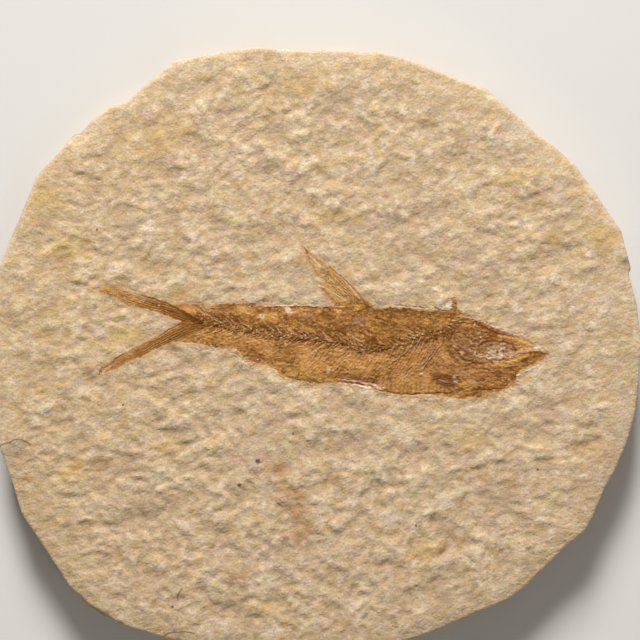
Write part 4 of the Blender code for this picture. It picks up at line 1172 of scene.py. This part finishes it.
def fish_mesh(canvas, material, slab):
    axes = (np.arange(low, high, FISH_SPACING) for low, high in zip(CANVAS_LOW, CANVAS_HIGH))
    x, y = np.meshgrid(*axes, indexing="ij")
    fish_depth, film = canvas.at(canvas.depth, x, y), canvas.at(canvas.film, x, y)
    rim_depth = depth_inside(RIM, x, y)
    stone, relief = stone_surface(x, y, rim_depth, fish_depth)
    height = fish_heights(canvas, slab, x, y, fish_depth, film, stone, relief)

    i, j = np.nonzero(cells_within(fish_depth > -FISH_SKIRT))
    corners = ((i, j), (i + 1, j), (i + 1, j + 1), (i, j + 1))
    used = np.zeros(x.shape, bool)
    for corner in corners:
        used[corner] = True
    index = np.full(x.shape, -1)
    index[used] = np.arange(used.sum())
    quads = np.stack([index[corner] for corner in corners], axis=-1)
    top = np.column_stack([x[used], y[used], height[used]])
    at = (x[used], y[used])
    stored = {
        "stone_tints": stone_tints(*at, relief[used], rim_depth[used], fish_depth[used]),
        "fish_tints": canvas.at(canvas.tints, *at),
        "film": film[used],
        "gold": canvas.at(canvas.gold, *at),
    }

    count = len(top)
    border, loops = border_loops(quads, count)
    rims = sum(loops, [])
    below = {point: count + k for k, point in enumerate(rims)}
    wall = [[b, a, below[a], below[b]] for a, b in border]
    flat_loops = [[Vector((*top[point][:2], 0)) for point in loop] for loop in loops]
    cap = [[count + k for k in face] for face in geometry.tessellate_polygon(flat_loops)]
    points = np.vstack([top, top[rims] * (1, 1, 0) + (0, 0, FISH_FOOT)])
    stored = {label: np.concatenate([values, values[rims]]) for label, values in stored.items()}
    made = make_mesh("fish_film", points, quads.tolist() + wall + cap, stored, material)
    shape = bmesh.new()
    shape.from_mesh(made.data)
    bmesh.ops.recalc_face_normals(shape, faces=shape.faces)
    shape.to_mesh(made.data)
    shape.free()
    return made


# Materials


def colour(r, g, b):
    return (r, g, b, 1)


STONE = colour(0.62, 0.474, 0.312)
STONE_OCHRE = colour(0.622, 0.44, 0.185)
STONE_GREY = colour(0.46, 0.346, 0.262)
STONE_RUST = colour(0.43, 0.23, 0.1)
# painted shade inside the pinholes
STONE_PINHOLE_SHADE = colour(0.085, 0.05, 0.028)
STONE_CRACK = colour(0.2, 0.115, 0.055)
# pale bloom, and the painted highlight along the rim
STONE_BLOOM_AND_RIM_HIGHLIGHT = colour(0.68, 0.56, 0.44)
# painted shade in the relief's hollows
STONE_HOLLOW_SHADE = colour(0.42, 0.276, 0.146)
STONE_PALE = colour(0.82, 0.695, 0.53)
STONE_WHITE = colour(0.88, 0.77, 0.61)
STONE_SIDE = colour(0.5, 0.35, 0.195)
STONE_OLIVE = colour(0.955, 1, 0.955)  # it and the next three multiply the stone's colour
STONE_PINK = colour(1.025, 0.985, 1.025)
STONE_SPECK = colour(0.85, 0.795, 0.71)
STONE_GLINT = colour(1.04, 1.04, 1.04)
FILM = colour(0.378, 0.16, 0.036)
FILM_DARK = colour(0.13, 0.046, 0.003)
FILM_WARM = colour(0.628, 0.338, 0.116)
FILM_PALE = colour(0.75, 0.575, 0.39)
FILM_GREY = colour(0.315, 0.195, 0.125)
FILM_GOLD = colour(1, 1.015, 0.79)  # it and the next multiply the film's colour
FILM_PINK = colour(0.995, 0.945, 1.15)
# Mottling of the stone: size in millimetres, the noise where it starts and is full, its most and its colour.
MOTTLING = (
    (1.1, 0.38, 0.62, 0.85, STONE_PALE),
    (1.7, 0.48, 0.66, 0.8, STONE_OCHRE),
    (1.4, 0.5, 0.66, 0.75, STONE_GREY),
)
STRATA_SCALE = (0.18, 0.18, 2.2)
CRACK_WIDTH = 0.19
CRACK_WANDER = 1.1
STONE_ROUGHNESS = 0.88
STONE_SHINE = 0.3
FILM_ROUGHNESS = 0.55
FILM_SHINE = 0.12
# Size and depth of the stone's bumps in millimetres. The first follow the grain.
GRAIN_BUMPS = (0.85, 0.17)
FINE_BUMPS = ((0.38, 0.065), (0.2, 0.015))
FILM_BUMP_SHARE = 0.5  # of the stone's bumps that the film shows


class Shader:
    """Short ways to add and join the nodes of one material."""

    def __init__(self, name):
        self.material = bpy.data.materials.new(name)
        self.material.use_nodes = True
        self.tree = self.material.node_tree
        self.place = self.mapped(self.add("TexCoord", "Object", {}), Scale=(1 / MM, 1 / MM, 1 / MM))
        along_grain = self.mapped(self.place, Rotation=(0, 0, -math.radians(GRAIN_TURN)))
        self.grain_place = self.mapped(along_grain, Scale=(0.85, 1, 1))

    def feed(self, node, inputs):
        """Sets or joins inputs, each by its name or number."""
        for key, value in inputs.items():
            if isinstance(value, (int, float, tuple)):
                node.inputs[key].default_value = value
            else:
                self.tree.links.new(value, node.inputs[key])

    def add(self, kind, output, inputs, **settings):
        """The named output of a new node."""
        node = self.tree.nodes.new("ShaderNode" + kind)
        for name, value in settings.items():
            setattr(node, name, value)
        self.feed(node, inputs)
        return node.outputs[output]

    def finished(self, base, rough, specular, normal=None):
        shown = {"Base Color": base, "Roughness": rough, "Specular IOR Level": specular}
        self.feed(self.tree.nodes["Principled BSDF"], shown | ({"Normal": normal} if normal else {}))
        return self.material

    def mapped(self, place, **inputs):
        return self.add("Mapping", "Vector", {"Vector": place, **inputs})

    def stored(self, name):
        """A number stored at each point."""
        return self.add("Attribute", "Fac", {}, attribute_name=name)

    def stored_parts(self, name):
        """The red, green, blue and alpha of a colour stored at each point."""
        node = self.add("Attribute", "Color", {}, attribute_name=name).node
        split = self.add("SeparateColor", 0, {"Color": node.outputs["Color"]}).node
        return [*split.outputs, node.outputs["Alpha"]]

    def noise(self, size, detail=2, roughness=0.5, place=None):
        """Noise from 0 to 1 whose lumps are this many millimetres across."""
        inputs = {"Vector": place or self.grain_place, "Scale": 1 / size, "Detail": detail}
        return self.add("TexNoise", "Fac", inputs | {"Roughness": roughness})

    def ranged(self, value, low, high, to_low=0, to_high=1):
        inputs = {"Value": value, "From Min": low, "From Max": high, "To Min": to_low, "To Max": to_high}
        return self.add("MapRange", "Result", inputs)

    def maths(self, operation, a, b=0):
        return self.add("Math", "Value", {0: a, 1: b}, operation=operation)

    def vectors(self, operation, output, a, b=(0, 0, 0)):
        return self.add("VectorMath", output, {0: a, 1: b}, operation=operation)

    def mixed(self, share, a, b, blend="MIX"):
        """Two colours mixed."""
        return self.add("Mix", 2, {"Factor": share, 6: a, 7: b}, data_type="RGBA", blend_type=blend)

    def mixed_value(self, share, a, b):
        return self.add("Mix", 0, {"Factor": share, 2: a, 3: b})

    def bump(self, height, depth_mm, under=None):
        inputs = {"Distance": depth_mm * MM, "Height": height}
        return self.add("Bump", "Normal", inputs | ({"Normal": under} if under else {}))


def stone_colour(shader, side=None):
    """The stone's colour from its stored tints, among them painted shade in the hollows and a painted
    highlight along the rim, and finer specks.
    """
    ochre, grey, rust, hollow_shade = shader.stored_parts("stone_tints")
    found = STONE
    for size, low, high, most, tint in MOTTLING:
        found = shader.mixed(shader.ranged(shader.noise(size, 4, 0.65), low, high, 0, most), found, tint)
    found = shader.mixed(ochre, found, STONE_OCHRE)
    found = shader.mixed(grey, found, STONE_GREY)
    # grey below zero: pale bloom patches, and the painted highlight along the rim
    found = shader.mixed(shader.ranged(grey, 0, -1, 0, 0.85), found, STONE_BLOOM_AND_RIM_HIGHLIGHT)
    # painted shade in the relief's hollows
    found = shader.mixed(shader.maths("MULTIPLY", hollow_shade, 0.5), found, STONE_HOLLOW_SHADE)
    found = shader.mixed(shader.ranged(rust, 0, 0.8, 0, 0.8), found, STONE_RUST)
    if side:
        strata = shader.noise(1, 3, 0.6, shader.mapped(shader.place, Scale=STRATA_SCALE))
        seam = shader.mixed(shader.ranged(strata, 0.4, 0.7), STONE, STONE_SIDE)
        found = shader.mixed(shader.maths("MULTIPLY", side, 0.75), found, seam)
    tinge = shader.mixed(shader.ranged(shader.noise(1.5, 4, 0.7), 0.38, 0.62), STONE_OLIVE, STONE_PINK)
    found = shader.mixed(1, found, tinge, "MULTIPLY")
    speck = shader.ranged(shader.noise(0.3, 3, 0.6, shader.place), 0.34, 0.6)
    return shader.mixed(1, found, shader.mixed(speck, STONE_SPECK, STONE_GLINT), "MULTIPLY")


def cracked(shader, found):
    """The stone's colour with its hairline cracks drawn in."""
    bent = shader.maths("MULTIPLY", shader.noise(2, place=shader.place), CRACK_WANDER)
    for x, y, radius, way, turn in CRACKS:
        away = shader.vectors("SUBTRACT", "Vector", shader.place, (x, y, TOP))
        length = shader.vectors("LENGTH", "Value", away)
        off = shader.maths("ADD", shader.maths("SUBTRACT", length, radius + CRACK_WANDER / 2), bent)
        line = shader.ranged(shader.maths("ABSOLUTE", off), CRACK_WIDTH, 0)
        middle = (math.cos(math.radians(way)), math.sin(math.radians(way)), 0)
        ends = radius * math.cos(math.radians(turn))
        reach = shader.vectors("DOT_PRODUCT", "Value", away, middle)
        reach = shader.ranged(reach, ends, ends + 0.06 * radius)
        found = shader.mixed(shader.maths("MULTIPLY", line, reach), found, STONE_CRACK)
    return found


def pitted(shader, found):
    """The stone's colour with painted shade for its pinholes: dark spots where the mesh has no holes."""
    ragged = shader.ranged(shader.noise(0.35, place=shader.place), 0.3, 0.7, 0.6, 1.4)
    flat = shader.vectors("MULTIPLY", "Vector", shader.place, (1, 1, PINHOLE_FLATTENING))
    for x, y, radius in PINHOLES:
        away = shader.vectors("DISTANCE", "Value", flat, (x, y, TOP * PINHOLE_FLATTENING))
        reach = shader.maths("MULTIPLY", away, ragged)
        # painted shade: each pinhole a dark spot
        found = shader.mixed(shader.ranged(reach, radius, 0.4 * radius, 0, 0.9), found, STONE_PINHOLE_SHADE)
    return found


def stone_bump(shader, share=1):
    normal = shader.bump(shader.noise(GRAIN_BUMPS[0]), GRAIN_BUMPS[1] * share)
    for size, depth in FINE_BUMPS:
        normal = shader.bump(shader.noise(size, place=shader.place), depth * share, normal)
    return normal


def limestone_material():
    shader = Shader("limestone_material")
    whole = pitted(shader, cracked(shader, stone_colour(shader, shader.stored("side"))))
    return shader.finished(whole, STONE_ROUGHNESS, STONE_SHINE, stone_bump(shader))


def fish_material():
    shader = Shader("fossil_bone_material")
    dark, warm, pale, grey = shader.stored_parts("fish_tints")
    fleck, streak, grit = (shader.noise(*n) for n in ((0.22, 3, 0.65), (0.6, 3, 0.6), (0.16, 2, 0.6)))
    found = shader.mixed(warm, FILM, FILM_WARM)
    found = shader.mixed(grey, found, FILM_GREY)
    found = shader.mixed(shader.ranged(streak, 0.45, 0.75, 0, 0.4), found, FILM_WARM)
    found = shader.mixed(shader.ranged(fleck, 0.52, 0.68, 0, 0.35), found, FILM_DARK)
    found = shader.mixed(dark, found, FILM_DARK)
    found = shader.mixed(shader.ranged(grit, 0.6, 0.74, 0, 0.45), found, FILM_WARM)
    # pale marks: pale bone, and painted highlights on raised squiggles and on the back's lip
    found = shader.mixed(pale, found, FILM_PALE)
    gold = shader.ranged(shader.stored("gold"), -1, 1)
    found = shader.mixed(1, found, shader.mixed(gold, FILM_PINK, FILM_GOLD), "MULTIPLY")
    stone = shader.mixed(shader.maths("MULTIPLY", dark, 0.6), stone_colour(shader), STONE_RUST)
    # pale marks on the stone: white chips, the painted highlight on the back's lip and a pale spot painted
    # over a bump's shade
    stone = shader.mixed(pale, stone, STONE_WHITE)
    edge = shader.maths("ADD", shader.stored("film"), shader.ranged(fleck, 0.3, 0.7, -0.22, 0.22))
    skin = shader.ranged(edge, 0.2, 0.85)
    rough = shader.mixed_value(skin, STONE_ROUGHNESS, FILM_ROUGHNESS)
    whole = shader.mixed(skin, stone, found)
    return shader.finished(whole, rough, FILM_SHINE, stone_bump(shader, FILM_BUMP_SHARE))


# Floor, light and camera

CAMERA_AIM = (0.54 * MM, 5.04 * MM)
CAMERA_HEIGHT = 407 * MM
FACE_HEIGHT = 6.4 * MM
SENSOR = 36
FLOOR_HALF = 1.5
FLOOR_TINTS = (colour(0.66, 0.655, 0.64), colour(0.68, 0.675, 0.66))
FLOOR_MOTTLE = 400  # millimetres
FLOOR_ROUGHNESS = 0.9
FLOOR_SHINE = 0.5
AIR = colour(1, 0.95, 0.88)
AIR_STRENGTH = 0.16
# Name, place and size in metres, watts and tint.
LAMPS = (
    ("key", (-0.07, 0.78, 0.45), 0.29, 13.8, (1, 0.98, 0.955)),
    ("fill", (0.3, -0.45, 0.6), 0.5, 0.9, (1, 0.96, 0.9)),
)


def pale_floor():
    corners = [(x * FLOOR_HALF, y * FLOOR_HALF, 0) for x, y in ((-1, -1), (1, -1), (1, 1), (-1, 1))]
    mesh = bpy.data.meshes.new("floor")
    mesh.from_pydata(corners, [], [(0, 1, 2, 3)])
    shader = Shader("floor_material")
    soft = shader.mixed(shader.noise(FLOOR_MOTTLE), *FLOOR_TINTS)
    mesh.materials.append(shader.finished(soft, FLOOR_ROUGHNESS, FLOOR_SHINE))
    floor = bpy.data.objects.new("floor", mesh)
    bpy.context.scene.collection.objects.link(floor)


def studio():
    scene = bpy.context.scene
    scene.view_settings.view_transform = "Standard"
    scene.world = bpy.data.worlds.new("studio")
    scene.world.use_nodes = True
    background = scene.world.node_tree.nodes["Background"]
    background.inputs["Color"].default_value = AIR
    background.inputs["Strength"].default_value = AIR_STRENGTH
    for name, place, size, watts, tint in LAMPS:
        data = bpy.data.lights.new(name, "AREA")
        data.shape, data.size, data.energy, data.color = "SQUARE", size, watts, tint
        light = bpy.data.objects.new(name, data)
        light.location = place
        light.rotation_euler = (-Vector(place)).to_track_quat("-Z", "Y").to_euler()
        scene.collection.objects.link(light)
    camera = bpy.data.objects.new("camera", bpy.data.cameras.new("camera"))
    camera.data.sensor_width = SENSOR
    camera.data.lens = SENSOR * (CAMERA_HEIGHT - FACE_HEIGHT) / (PHOTO_WIDTH * MM_PER_PIXEL * MM)
    camera.location = (*CAMERA_AIM, CAMERA_HEIGHT)
    scene.collection.objects.link(camera)
    scene.camera = camera


studio()
pale_floor()
limestone = slab_mesh(limestone_material())
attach(limestone, "root")
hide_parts("limestone_slab")

fish = fish_mesh(painted_fish(), fish_material(), limestone)
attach(fish, "root")
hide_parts("fossil_fish")
